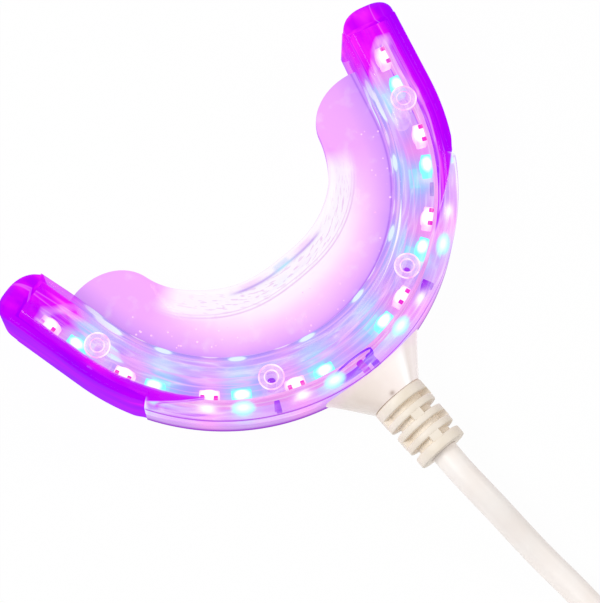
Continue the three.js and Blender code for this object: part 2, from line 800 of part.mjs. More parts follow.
// Plug at the end of the tail, lying flat on the floor beside the coil
const tailStart = [coilLast[0], coilLast[1] + cordDiameter + fit, coilLast[2]];
const tailPoints = tailRoute.map((point) => point.map((value, axis) => tailStart[axis] + value));
addPiece('cord_tail', tube(curveThrough(tailPoints), cordDiameter, tailSteps, cordSides), cordFinish, cord);

const plug = new THREE.Group();
const tailEnd = tailPoints[tailPoints.length - 1];
plug.position.set(tailEnd[0], tailEnd[1] + fit, tailEnd[2]);
plug.rotation.z = Math.PI / 2;
cord.add(plug);

function roundedBlock(width, height, length, rounding) {
  const shape = new THREE.Shape();
  const [w, h] = [width / 2 - rounding, height / 2 - rounding];
  shape.absarc(w, h, rounding, 0, Math.PI / 2);
  shape.absarc(-w, h, rounding, Math.PI / 2, Math.PI);
  shape.absarc(-w, -h, rounding, Math.PI, Math.PI * 1.5);
  shape.absarc(w, -h, rounding, Math.PI * 1.5, Math.PI * 2);
  return new THREE.ExtrudeGeometry(shape, { depth: length, bevelEnabled: false, curveSegments: 4 });
}

// Shapes drawn across the plug are turned so that their depth runs along +X
function alongPlug(geometry, start) {
  return geometry.rotateX(Math.PI / 2).rotateZ(Math.PI / 2).translate(start, 0, 0);
}

function plugPieces() {
  const neckRadius = plugNeckDiameter / 2;
  const neck = new THREE.CylinderGeometry(neckRadius, neckRadius, plugNeckLength, boreSides)
    .rotateZ(Math.PI / 2).translate(plugNeckLength / 2, 0, 0);
  const blockStart = plugNeckLength - overrun;
  const block = roundedBlock(plugBodyWidth, plugBodyHeight, plugBodyLength, plugBodyRounding);
  addPiece('plug_body', solidOf(neck).add(solidOf(alongPlug(block, blockStart))), cordFinish, plug);

  const face = blockStart + plugBodyLength + seat;
  const jacket = roundedBlock(plugShellWidth, plugShellHeight, plugShellLength, plugShellWall);
  const outer = alongPlug(jacket, face);
  const bore = new THREE.BoxGeometry(
    plugShellLength, plugShellWidth - 2 * plugShellWall, plugShellHeight - 2 * plugShellWall,
  ).translate(face + plugShellLength / 2 + plugShellWall, 0, 0);
  addPiece('plug_shell', solidOf(outer).subtract(solidOf(bore)), steel, plug);

  const tongueLength = plugShellLength - plugShellWall - seat - plugTongueInset;
  const tongueTop = plugShellHeight / 2 - plugShellWall - seat;
  const tongueStart = face + plugShellWall + seat;
  addPiece('plug_tongue', new THREE.BoxGeometry(
    tongueLength, plugShellWidth - 2 * plugShellWall - 2 * fit, plugTongueThickness,
  ).translate(tongueStart + tongueLength / 2, 0, tongueTop - plugTongueThickness / 2), tongueFinish, plug);

  for (let i = 0; i < contactCount; i += 1) {
    const across = (i - (contactCount - 1) / 2) * contactPitch;
    const contact = new THREE.BoxGeometry(contactLength, contactWidth, contactThickness).translate(
      tongueStart + tongueLength - plugTongueInset - contactLength / 2, across,
      tongueTop - plugTongueThickness - seat - contactThickness / 2,
    );
    addPiece(`plug_contact_${i + 1}`, contact, gold, plug);
  }
}
plugPieces();

// Origin: the bottom centre of the light, without its free cord
body.updateMatrixWorld(true);
const bounds = new THREE.Box3().setFromObject(body);
model.position.set(
  -(bounds.min.x + bounds.max.x) / 2, -(bounds.min.y + bounds.max.y) / 2, -bounds.min.z,
);

export default model;
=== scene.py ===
"""Looks of a teeth whitening light: a lit U-shaped mouthpiece with its stem, strain relief, cord and plug.

Lengths are in metres, +Z up. The stem points along -Y and the arms open to +Y. A finish that follows the arch
measures it in millimetres.
"""

import logging
import math
import random
from dataclasses import dataclass
from enum import Enum
from typing import Callable, Sequence

import bmesh
import bpy
from mathutils import Matrix, Vector


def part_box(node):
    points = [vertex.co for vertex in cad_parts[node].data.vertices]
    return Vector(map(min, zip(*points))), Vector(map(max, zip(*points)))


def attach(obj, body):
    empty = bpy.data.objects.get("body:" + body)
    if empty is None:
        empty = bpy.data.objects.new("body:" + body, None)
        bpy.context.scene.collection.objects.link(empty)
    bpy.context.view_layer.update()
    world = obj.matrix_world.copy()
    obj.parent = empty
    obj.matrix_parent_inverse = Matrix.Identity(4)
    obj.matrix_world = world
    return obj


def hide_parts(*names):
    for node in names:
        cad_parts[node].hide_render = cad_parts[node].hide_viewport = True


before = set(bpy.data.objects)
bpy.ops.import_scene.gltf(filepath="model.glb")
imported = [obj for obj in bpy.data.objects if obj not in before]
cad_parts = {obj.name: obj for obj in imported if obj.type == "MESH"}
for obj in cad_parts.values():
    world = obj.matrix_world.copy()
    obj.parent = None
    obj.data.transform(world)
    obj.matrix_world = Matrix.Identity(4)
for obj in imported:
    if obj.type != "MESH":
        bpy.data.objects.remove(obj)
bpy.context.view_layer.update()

LOG = logging.getLogger("whitening_light")
ROOT = "root"
PLACE_ATTRIBUTE = "arch_place"

MM = 0.001
HEIGHT = 12.0 * MM
MIDDLE = HEIGHT / 2
FRONT_RADIUS = 30.9 * MM
FRONT_FACE = 32.136 * MM
FIT = 0.3 * MM
WELD = 0.001 * MM

Colour = tuple[float, float, float]
Span = tuple[float, float]
Stops = tuple[tuple[float, str], ...]
Section = list[Span]
Ring = list[Vector]

WHITE: Colour = (1.0, 1.0, 1.0)
BLACK: Colour = (0.0, 0.0, 0.0)


def srgb(code: str) -> Colour:
    """Turns a hex colour into linear light.

    Args:
        code: six hex digits, such as "d9a0ff".

    Returns:
        Red, green and blue from 0 to 1.
    """
    parts = (int(code[i:i + 2], 16) / 255 for i in (0, 2, 4))
    return tuple(p / 12.92 if p <= 0.04045 else ((p + 0.055) / 1.055) ** 2.4 for p in parts)


def blend(start: float, end: float, share: float) -> float:
    """Returns the value that lies a share of the way from start to end."""
    return start + (end - start) * share


def smooth(share: float) -> float:
    """Returns a share eased in and out, held between 0 and 1."""
    held = min(max(share, 0.0), 1.0)
    return held * held * (3 - 2 * held)


def eased_sine(angle: float, ease: float = 0.25) -> float:
    """Returns the sine's size, rounded off where it would have a corner."""
    return math.sqrt(math.sin(angle) ** 2 + ease ** 2) - ease


def slowing(length: float, steps: int) -> list[float]:
    """Returns lengths from nought to the full one, closer together towards its end."""
    return [length * math.sin(math.pi / 2 * i / steps) for i in range(steps + 1)]


def smooth_through(points: Sequence[Sequence[float]], steps: int = 5) -> list[tuple[float, ...]]:
    """Returns points on a smooth curve through given points.

    Args:
        points: the points, each with the same count of numbers.
        steps: steps between neighbours.

    Returns:
        The curve's points.
    """
    last = len(points) - 1
    curve = []
    for i in range(last):
        stretch = [points[max(min(i + k, last), 0)] for k in (-1, 0, 1, 2)]
        for step in range(steps):
            t = step / steps
            curve.append(tuple(
                0.5 * (2 * s + (e - b) * t + (2 * b - 5 * s + 4 * e - a) * t ** 2
                       + (3 * s - b - 3 * e + a) * t ** 3)
                for b, s, e, a in zip(*stretch)))
    return curve + [tuple(points[last])]


def corner(middle: Span, size: float, start: float, end: float, steps: int = 6) -> Section:
    """Returns a round corner.

    Args:
        middle: radius and height of its middle.
        size: its radius.
        start: where it starts, in half turns.
        end: where it ends, in half turns.
        steps: its steps.

    Returns:
        The corner's points.
    """
    turns = [math.pi * blend(start, end, i / steps) for i in range(steps + 1)]
    return [(middle[0] + size * math.cos(turn), middle[1] + size * math.sin(turn)) for turn in turns]


def rounded(across: Span, up: Span, inside: float, outside: float, steps: int = 6) -> Section:
    """Returns a rectangle in radius and height with rounded corners.

    Args:
        across: least and greatest radius.
        up: least and greatest height.
        inside: rounding of the two inner corners.
        outside: rounding of the two outer corners.
        steps: steps in each corner.

    Returns:
        The closed section.
    """
    (inner, outer), (low, high) = across, up
    corners = (
        (outer - outside, high - outside, outside, 0.0),
        (inner + inside, high - inside, inside, 0.5),
        (inner + inside, low + inside, inside, 1.0),
        (outer - outside, low + outside, outside, 1.5),
    )
    return [point for radius, height, size, start in corners
            for point in corner((radius, height), size, start, start + 0.5, steps)]


def circle(middle: Vector, radius: float, sides: int) -> Ring:
    """Returns a round ring that stands across the Y axis."""
    turns = [2 * math.pi * i / sides for i in range(sides)]
    return [middle + Vector((radius * math.cos(turn), 0.0, radius * math.sin(turn))) for turn in turns]


# Shader arithmetic and node sheets

def operator(operation: str, turned: bool = False) -> Callable[["Term", "Term | float"], "Term"]:
    """Returns an arithmetic method for terms.

    Args:
        operation: the Math node's operation.
        turned: whether the other value comes first.

    Returns:
        The method.
    """
    def apply(self: "Term", other: "Term | float") -> "Term":
        """Returns the operation's result."""
        first, second = (other, self) if turned else (self, other)
        return self.maths(operation, first, second)
    return apply


class Term:
    """A socket of a shader that takes part in arithmetic."""

    def __init__(self, tree: bpy.types.NodeTree, socket: bpy.types.NodeSocket) -> None:
        """Keeps the tree and the socket."""
        self.tree = tree
        self.socket = socket

    def maths(self, operation: str, *values: "Term | float", clamp: bool = False) -> "Term":
        """Adds one Math node.

        Args:
            operation: the node's operation.
            values: what goes into its sockets, in order.
            clamp: whether the result is held between 0 and 1.

        Returns:
            The node's result.
        """
        node = self.tree.nodes.new("ShaderNodeMath")
        node.operation = operation
        node.use_clamp = clamp
        for place, value in enumerate(values):
            if isinstance(value, Term):
                self.tree.links.new(value.socket, node.inputs[place])
            else:
                node.inputs[place].default_value = value
        return Term(self.tree, node.outputs[0])

    __add__ = operator("ADD")
    __radd__ = operator("ADD", turned=True)
    __sub__ = operator("SUBTRACT")
    __rsub__ = operator("SUBTRACT", turned=True)
    __mul__ = operator("MULTIPLY")
    __rmul__ = operator("MULTIPLY", turned=True)
    __truediv__ = operator("DIVIDE")
    __pow__ = operator("POWER")

    def size(self) -> "Term":
        """Returns the value without its sign."""
        return self.maths("ABSOLUTE", self)

    def held(self) -> "Term":
        """Returns the value held between 0 and 1."""
        return self.maths("ADD", self, 0.0, clamp=True)

    def sine(self) -> "Term":
        """Returns the sine."""
        return self.maths("SINE", self)

    def bell(self, middle: float, width: float) -> "Term":
        """Returns 1 at the middle, falling away smoothly over the width on both sides."""
        far = (self - middle) / width
        return self.maths("EXPONENT", far * far * -1.0)

    def rise(self, low: float, high: float) -> "Term":
        """Returns 0 at low, 1 at high, straight between and held beyond; high may be the lesser."""
        return ((self - low) / (high - low)).held()

    def nearest(self, first: float, pitch: float) -> "Term":
        """Returns the distance to the nearest of a row of places that starts at first."""
        turns = (self - first) / pitch
        return self.maths("PINGPONG", turns, 0.5) * pitch


class NodeSheet:
    """The nodes of one material, ending in one Principled shader."""

    MIX_LOW, MIX_HIGH, MIX_RESULT = 6, 7, 2

    def __init__(self, name: str) -> None:
        """Makes the material and its shader."""
        self.material = bpy.data.materials.new(name)
        self.material.use_nodes = True
        self.tree = self.material.node_tree
        self.tree.nodes.clear()
        self.shader = self.node("ShaderNodeBsdfPrincipled")
        self.output = self.node("ShaderNodeOutputMaterial")
        self.tree.links.new(self.shader.outputs[0], self.output.inputs["Surface"])

    def node(self, kind: str, sockets: dict | None = None, **settings: object) -> bpy.types.Node:
        """Adds any node.

        Args:
            kind: the node's type.
            sockets: values or terms for its sockets, by name or number.
            settings: its properties, set first.

        Returns:
            The node.
        """
        node = self.tree.nodes.new(kind)
        for key, value in settings.items():
            setattr(node, key, value)
        for key, value in (sockets or {}).items():
            self.feed(node.inputs[key], value)
        return node

    def feed(self, socket: bpy.types.NodeSocket, value: object) -> None:
        """Links a term to a socket, or sets the socket's own value; a string is a hex colour."""
        if isinstance(value, Term):
            self.tree.links.new(value.socket, socket)
            return
        if isinstance(value, str):
            value = srgb(value)
        if socket.type == "RGBA":
            value = (*value, 1.0)
        socket.default_value = value

    def set(self, **sockets: object) -> None:
        """Sets sockets of the shader; an underscore stands for a space."""
        for key, value in sockets.items():
            self.feed(self.shader.inputs[key.replace("_", " ")], value)

    def term(self, node: bpy.types.Node, output: int | str = 0) -> Term:
        """Returns one output of a node as a term."""
        return Term(self.tree, node.outputs[output])

    def object_point(self) -> Term:
        """Returns the point in object coordinates."""
        return self.term(self.node("ShaderNodeTexCoord"), "Object")

    def split(self, vector: Term) -> tuple[Term, Term, Term]:
        """Returns the three numbers of a vector."""
        node = self.node("ShaderNodeSeparateXYZ", {0: vector})
        return self.term(node, 0), self.term(node, 1), self.term(node, 2)

    def joined(self, x: Term | float, y: Term | float, z: Term | float) -> Term:
        """Returns a vector of three numbers."""
        return self.term(self.node("ShaderNodeCombineXYZ", {0: x, 1: y, 2: z}))

    def noise(self, vector: Term, scale: float, detail: float = 2.0) -> Term:
        """Returns a noise from 0 to 1 over a vector."""
        sockets = {"Vector": vector, "Scale": scale, "Detail": detail}
        return self.term(self.node("ShaderNodeTexNoise", sockets))

    def cloud(self, scale: float, detail: float = 2.0) -> Term:
        """Returns a noise from 0 to 1 over the object."""
        return self.noise(self.object_point(), scale, detail)

    def mix(self, share: Term | float, low: object, high: object) -> Term:
        """Returns a colour between two colours."""
        sockets = {0: share, self.MIX_LOW: low, self.MIX_HIGH: high}
        return self.term(self.node("ShaderNodeMix", sockets, data_type="RGBA"), self.MIX_RESULT)

    def tint(self, share: Term, colour: object, tone: "Tone") -> Term:
        """Returns a colour with a tone laid over it where the share says."""
        return self.mix(share * tone.strength, colour, tone.code)

    def ramp(self, share: Term, stops: Stops) -> Term:
        """Returns a colour from a row of stops.

        Args:
            share: where to read the row, from 0 to 1.
            stops: places and hex colours, in order.

        Returns:
            The colour there.
        """
        node = self.node("ShaderNodeValToRGB", {0: share})
        row = node.color_ramp.elements
        while len(row) < len(stops):
            row.new(1.0)
        for element, (place, code) in zip(row, stops):
            element.position = place
            element.color = (*srgb(code), 1.0)
        return self.term(node)

    def bump(self, height: Term, strength: float, distance: float) -> None:
        """Feeds a height into the shader's normal."""
        node = self.node("ShaderNodeBump", {"Strength": strength, "Distance": distance, "Height": height})
        self.set(Normal=self.term(node))


@dataclass(frozen=True)
class LampRow:
    """Places of the lamps along the strip, on each side of the middle."""

    first: float = 5.2 * MM
    gap: float = 4.2 * MM
    pitch: float = 11.4 * MM
    pairs: int = 4

    def blue(self, pair: int) -> float:
        """Returns the distance of a blue lamp."""
        return self.first + pair * self.pitch

    def red(self, pair: int) -> float:
        """Returns the distance of a red lamp."""
        return self.blue(pair) + self.gap


LAMPS = LampRow()


@dataclass(frozen=True)
class Grain:
    """A noise on the arch: how fast it changes along, across and up, its scale and its detail."""

    along: float = 0.0
    across: float = 0.0
    up: float = 0.0
    scale: float = 1.0
    detail: float = 1.0


@dataclass(frozen=True)
class Tone:
    """A colour and how firmly it covers what lies under it."""

    code: str
    strength: float = 1.0


class Spot:
    """The place on the arch that a finish colours, in millimetres, with the colour laid there so far."""

    def __init__(self, sheet: NodeSheet) -> None:
        """Reads path length, radius and height from the piece's attribute."""
        self.sheet = sheet
        place = sheet.node("ShaderNodeAttribute", attribute_name=PLACE_ATTRIBUTE)
        self.path, self.radius, self.height = sheet.split(sheet.term(place, "Vector"))
        self.far = self.path.size()
        self.colour = None

    def noise(self, grain: Grain) -> Term:
        """Returns a noise drawn out along the arch."""
        parts = (self.path * grain.along, self.radius * grain.across, self.height * grain.up)
        return self.sheet.noise(self.sheet.joined(*parts), grain.scale, grain.detail)

    def off_lamp(self, first: float) -> Term:
        """Returns how far the nearest lamp of a colour lies, from the distance of the first of them."""
        return self.far.nearest(first / MM, LAMPS.pitch / MM)

    def lamp_light(self, spread: float) -> tuple[Term, Term]:
        """Returns how much of the blue and of the red lamps' light reaches the place."""
        return tuple(self.off_lamp(first).bell(0.0, spread) for first in (LAMPS.blue(0), LAMPS.red(0)))

    def start(self, share: Term, stops: Stops) -> None:
        """Starts the colour from a row of stops."""
        self.colour = self.sheet.ramp(share, stops)

    def lay(self, share: Term, tone: Tone | Term) -> None:
        """Lays a tone or another colour over the colour where the share says."""
        lays = self.sheet.tint if isinstance(tone, Tone) else self.sheet.mix
        self.colour = lays(share, self.colour, tone)


@dataclass(frozen=True)
class Violet:
    """Deep violet of thick lit plastic with magenta streaks, and where it shows in the housing."""

    tones: Stops = ((0.24, "a000ff"), (0.38, "b000ff"), (0.5, "c000ff"), (0.6, "d806fe"), (0.76, "f624fc"))
    streak: Grain = Grain(0.07, 0.4, 0.25, scale=1.3, detail=2.0)
    streak_share: float = 0.74
    depth: Span = (30.8, 24.9)
    line_drift: tuple[float, float, float] = (0.012, 0.35, 0.02)
    line_scale: float = 0.55
    line_width: float = 0.012
    line_tone: Tone = Tone("f070ff", 0.5)
    wave: Grain = Grain(1.0, 0.3, scale=0.35, detail=2.0)
    wave_size: float = 0.9
    sliver_inner: Span = (28.4, 28.6)
    sliver_wave: float = 0.4
    sliver_outer: float = 28.7
    sliver_start: float = 21.0
    sliver_growth: float = 0.24
    sliver_softness: float = 0.22
    tip: Span = (43.0, 44.8)
    tip_wave: float = 2.5
    tip_slant: Span = (26.8, 24.0)
    tip_slant_length: float = 3.0

    def colour(self, spot: Spot) -> Term:
        """Returns the violet, with a few pale lines along it."""
        share = spot.noise(self.streak) * self.streak_share
        share = share + spot.radius.rise(*self.depth) * (1 - self.streak_share)
        along, up, turn = self.line_drift
        vector = spot.sheet.joined(spot.path * along, spot.radius + spot.height * up, spot.path * turn)
        line = spot.sheet.noise(vector, self.line_scale, 1.0).bell(0.5, self.line_width)
        return spot.sheet.tint(line, spot.sheet.ramp(share, self.tones), self.line_tone)

    def share(self, spot: Spot) -> Term:
        """Returns where it shows: a sliver in each side that widens into the arm, and the tips."""
        wave = (spot.noise(self.wave) - 0.5) * self.wave_size
        inner = (spot.radius + wave * self.sliver_wave).rise(*self.sliver_inner)
        edge = (spot.far - self.sliver_start) * self.sliver_growth + self.sliver_outer
        outer = ((edge - spot.radius) / self.sliver_softness).held()
        slant = spot.radius.rise(*self.tip_slant) * self.tip_slant_length
        tip = (spot.far + wave * self.tip_wave + slant).rise(*self.tip)
        return tip.maths("MAXIMUM", inner * outer, tip)


VIOLET = Violet()


# Finishes

@dataclass(frozen=True)
class Finish:
    """A plain finish with a fine mottle; its children add their own pattern."""

    name: str
    colour: str = "ffffff"
    roughness: float = 0.4
    coat: float = 0.0
    metallic: float = 0.0
    grain_scale: float = 2600.0
    grain_strength: float = 0.12
    grain_depth: float = 0.05 * MM
    mottle_scale: float = 900.0
    mottle_share: float = 0.86

    def material(self) -> bpy.types.Material:
        """Returns the material, made once."""
        found = bpy.data.materials.get(self.name)
        if found:
            return found
        sheet = NodeSheet(self.name)
        sheet.set(Roughness=self.roughness, Coat_Weight=self.coat, Metallic=self.metallic)
        self.dress(sheet)
        return sheet.material

    def dress(self, sheet: NodeSheet) -> None:
        """Adds a fine mottle to the plain colour."""
        base = srgb(self.colour)
        darker = tuple(self.mottle_share * part for part in base)
        sheet.set(Base_Color=sheet.mix(sheet.cloud(self.mottle_scale, 3.0), darker, base))
        self.roughen(sheet)

    def roughen(self, sheet: NodeSheet) -> None:
        """Gives the surface its fine grain."""
        sheet.bump(sheet.cloud(self.grain_scale), self.grain_strength, self.grain_depth)


@dataclass(frozen=True)
class LitPlastic(Finish):
    """Clear plastic or elastomer that carries the light of the lamps inside it."""

    glow: float = 0.5
    alpha: float = 1.0
    body: float = 0.3

    def shine(self, sheet: NodeSheet, colour: Term, alpha: Term | float) -> None:
        """Gives the shader its colour, dimmed to what it gives back of the room's light, and its own light.

        Args:
            sheet: the material's nodes.
            colour: the colour that it glows with.
            alpha: how much of it isn't seen through.
        """
        sheet.set(Specular_IOR_Level=0.0, Base_Color=sheet.mix(self.body, BLACK, colour))
        sheet.set(Emission_Color=colour, Emission_Strength=self.glow, Alpha=alpha)


@dataclass(frozen=True)
class BitePlateFinish(LitPlastic):
    """Soft plate: lavender by the window, pink across, nearly white at the raised lip."""

    tones: Stops = ((0.0, "fffcfe"), (0.3, "fffcff"), (0.46, "ffecfe"), (0.64, "fcccfd"), (0.84, "ecb0fd"),
                    (1.0, "cc94f8"))
    lobe_tones: Stops = ((0.0, "f6a4fc"), (0.35, "f4acfc"), (0.7, "efaafb"), (1.0, "d298f8"))
    width: Span = (12.4, 23.0)
    cloud_scale: float = 160.0
    cloud_size: float = 1.4
    arm: Span = (19.0, 33.0)
    strip_radius: float = 28.25
    edge_front: float = 12.8
    edge_growth: float = 2.93
    edge_ease: float = 0.25
    lip: Span = (3.7, 2.5)
    lip_end: Span = (33.5, 28.5)
    lip_tone: Tone = Tone("fffaff", 0.85)
    dash: Grain = Grain(0.42, 5.2)
    dash_range: Span = (0.56, 0.64)
    dash_band: Span = (2.05, 1.1)
    dash_tone: Tone = Tone("e6b4ec", 0.6)
    foot_lines: tuple = ((3.3, 0.1, 1.0), (2.95, 0.07, 0.7))
    foot_tone: Tone = Tone("dca4e4", 0.6)
    # The pane: a painted reflection of the lit window in the lip.
    pane_inner: Span = (0.5, 0.75)
    pane_outer: Span = (1.35, 1.25)
    pane_middle: float = -2.3
    pane_ends: Span = (8.6, 3.4)
    pane_end_tone: Tone = Tone("f2b8f8", 0.6)
    pane_core: Span = (-1.6, 2.6)
    pane_core_range: Span = (0.3, 0.6)
    pane_core_tone: Tone = Tone("b8d0fc", 0.6)
    crescent: Span = (1.3, 0.14)
    crescent_end: Span = (14.6, 11.0)
    crescent_core: Span = (-1.2, 3.0)
    crescent_tones: tuple[str, str] = ("b890ee", "88e8fa")
    crescent_strength: float = 0.9
    rim: Span = (0.84, 0.6)
    rim_tone: Tone = Tone("cc78f4", 0.8)
    brink: Span = (0.12, 0.14)
    brink_tone: Tone = Tone("e6bcee", 0.6)
    seam: Span = (22.5, 0.13)
    seam_tone: Tone = Tone("a868e8", 0.75)
    fleck_scale: float = 420.0
    fleck_range: Span = (0.56, 0.8)
    fleck_tone: Tone = Tone("ffffff", 0.22)
    clear_range: Span = (0.34, 0.06)
    clear_share: float = 0.35

    def dress(self, sheet: NodeSheet) -> None:
        """Colours the plate by radius, with a warmer tone in the lobes of the arms."""
        spot = Spot(sheet)
        sway = (sheet.cloud(self.cloud_scale) - 0.5) * self.cloud_size
        across = (spot.radius + sway).rise(*self.width)
        in_arm = spot.far.rise(*self.arm)
        in_front = 1 - in_arm
        spot.start(across, self.tones)
        spot.lay(in_arm, sheet.ramp(across, self.lobe_tones))
        inside = spot.radius - self.edge(spot)
        spot.lay(inside.rise(*self.lip) * spot.far.rise(*self.lip_end), self.lip_tone)
        dashes = spot.noise(self.dash).rise(*self.dash_range) * inside.bell(*self.dash_band)
        spot.lay(dashes * in_front, self.dash_tone)
        foot = sum(inside.bell(middle, width) * strength for middle, width, strength in self.foot_lines)
        spot.lay(foot * in_front, self.foot_tone)
        self.paint_window_reflection(spot, inside)
        spot.lay((spot.height - MIDDLE / MM).size().rise(*self.rim) * in_arm, self.rim_tone)
        spot.lay(inside.bell(*self.brink) * in_front, self.brink_tone)
        spot.lay(spot.radius.bell(*self.seam), self.seam_tone)
        spot.lay(sheet.cloud(self.fleck_scale, 3.0).rise(*self.fleck_range), self.fleck_tone)
        clear = across.rise(*self.clear_range) * in_front
        self.shine(sheet, spot.colour, self.alpha - self.clear_share * clear)

    def edge(self, spot: Spot) -> Term:
        """Returns the radius of the plate's inner edge."""
        turn = (spot.path / self.strip_radius).sine()
        eased = (turn * turn + self.edge_ease ** 2) ** 0.5 - self.edge_ease
        return self.edge_front + self.edge_growth * eased

    def paint_window_reflection(self, spot: Spot, inside: Term) -> None:
        """Paints a reflection of the lit window in the lip, pink at its ends and cyan in its middle.

        Args:
            spot: the place to colour.
            inside: how far the place lies from the plate's inner edge.
        """
        # Painted reflection of the lit window, pink at its ends and cyan in its middle.
        pane = inside.rise(*self.pane_inner) * inside.rise(*self.pane_outer)
        off_middle = (spot.path - self.pane_middle).size()
        spot.lay(pane * off_middle.bell(*self.pane_ends), self.pane_end_tone)
        core = spot.path.bell(*self.pane_core).rise(*self.pane_core_range)
        spot.lay(pane * core, self.pane_core_tone)
        line = inside.bell(*self.crescent) * off_middle.rise(*self.crescent_end)
        tint = spot.sheet.mix(spot.path.bell(*self.crescent_core), *self.crescent_tones)
        spot.lay(line * self.crescent_strength, tint)


@dataclass(frozen=True)
class KerbFinish(LitPlastic):
    """Thin wall of the tray against the lit window."""

    tones: Stops = ((0.0, "b088f4"), (0.05, "f8ccfd"), (0.1, "b494fa"), (0.2, "baa0fc"), (0.27, "f6c8fd"),
                    (0.32, "b0a2fd"), (0.5, "b6a6fd"), (0.55, "f0c0fd"), (0.59, "b4a6fd"), (0.8, "b0b0fe"),
                    (0.95, "c8a0fb"))
    drift: Grain = Grain(0.06, up=0.08, scale=1.3)
    drift_size: float = 0.16
    across: Span = (22.7, 23.8)
    across_share: float = 0.4
    down: Span = (9.3, 2.7)
    light_spread: float = 1.6
    blue_tone: Tone = Tone("a6dcfe", 0.68)
    red_tone: Tone = Tone("ffb0f4", 0.45)
    # Painted highlights: cyan-white glints by the blue lamps, a leaf-shaped one in each arm, pink-white
    # glints by the red lamps.
    glint: Span = (0.17, 0.12)
    glint_range: Span = (0.36, 0.6)
    glint_strength: float = 0.85
    leaf_highlight_place: Span = (36.8, 2.6)
    leaf_highlight_rank: Span = (0.3, 0.16)
    leaf_highlight_range: Span = (0.36, 0.56)
    bright_tone: Tone = Tone("eeffff")
    bright_alpha: float = 0.38
    pink: Span = (0.08, 0.05)
    pink_range: Span = (0.4, 0.7)
    pink_tone: Tone = Tone("fff0ff", 0.8)
    arm: Span = (34.0, 44.0)
    arm_tone: Tone = Tone("dc74fb", 0.55)
    tip: Span = (39.6, 43.0)
    tip_drift: float = 6.0

    def dress(self, sheet: NodeSheet) -> None:
        """Streaks of lavender, pink and cyan that run along the wall, with painted highlights: glints by the
        lamps and a leaf in each arm.
        """
        spot = Spot(sheet)
        drift = (spot.noise(self.drift) - 0.5) * self.drift_size
        rank = spot.radius.rise(*self.across) * self.across_share
        rank = rank + spot.height.rise(*self.down) * (1 - self.across_share) + drift
        spot.start(rank, self.tones)
        blue, red = spot.lamp_light(self.light_spread)
        spot.lay(blue, self.blue_tone)
        spot.lay(red, self.red_tone)
        # Painted highlights: cyan-white glints by the blue lamps and a leaf-shaped highlight in each arm.
        glint = (blue * rank.bell(*self.glint)).rise(*self.glint_range)
        leaf = (spot.far.bell(*self.leaf_highlight_place) * rank.bell(*self.leaf_highlight_rank)).rise(*self.leaf_highlight_range)
        bright = (glint * self.glint_strength + leaf).held()
        spot.lay(bright, self.bright_tone)
        # Painted highlight: pink-white glints by the red lamps.
        spot.lay((red * rank.bell(*self.pink)).rise(*self.pink_range), self.pink_tone)
        spot.lay(spot.far.rise(*self.arm), self.arm_tone)
        spot.lay((spot.far + drift * self.tip_drift).rise(*self.tip), VIOLET.colour(spot))
        self.shine(sheet, spot.colour, self.alpha + self.bright_alpha * bright)


@dataclass(frozen=True)
class WingFinish(LitPlastic):
    """Thick soft wings and tips that hold the light as a deep violet."""

    def dress(self, sheet: NodeSheet) -> None:
        """Lays the violet over the whole piece."""
        self.shine(sheet, VIOLET.colour(Spot(sheet)), self.alpha)


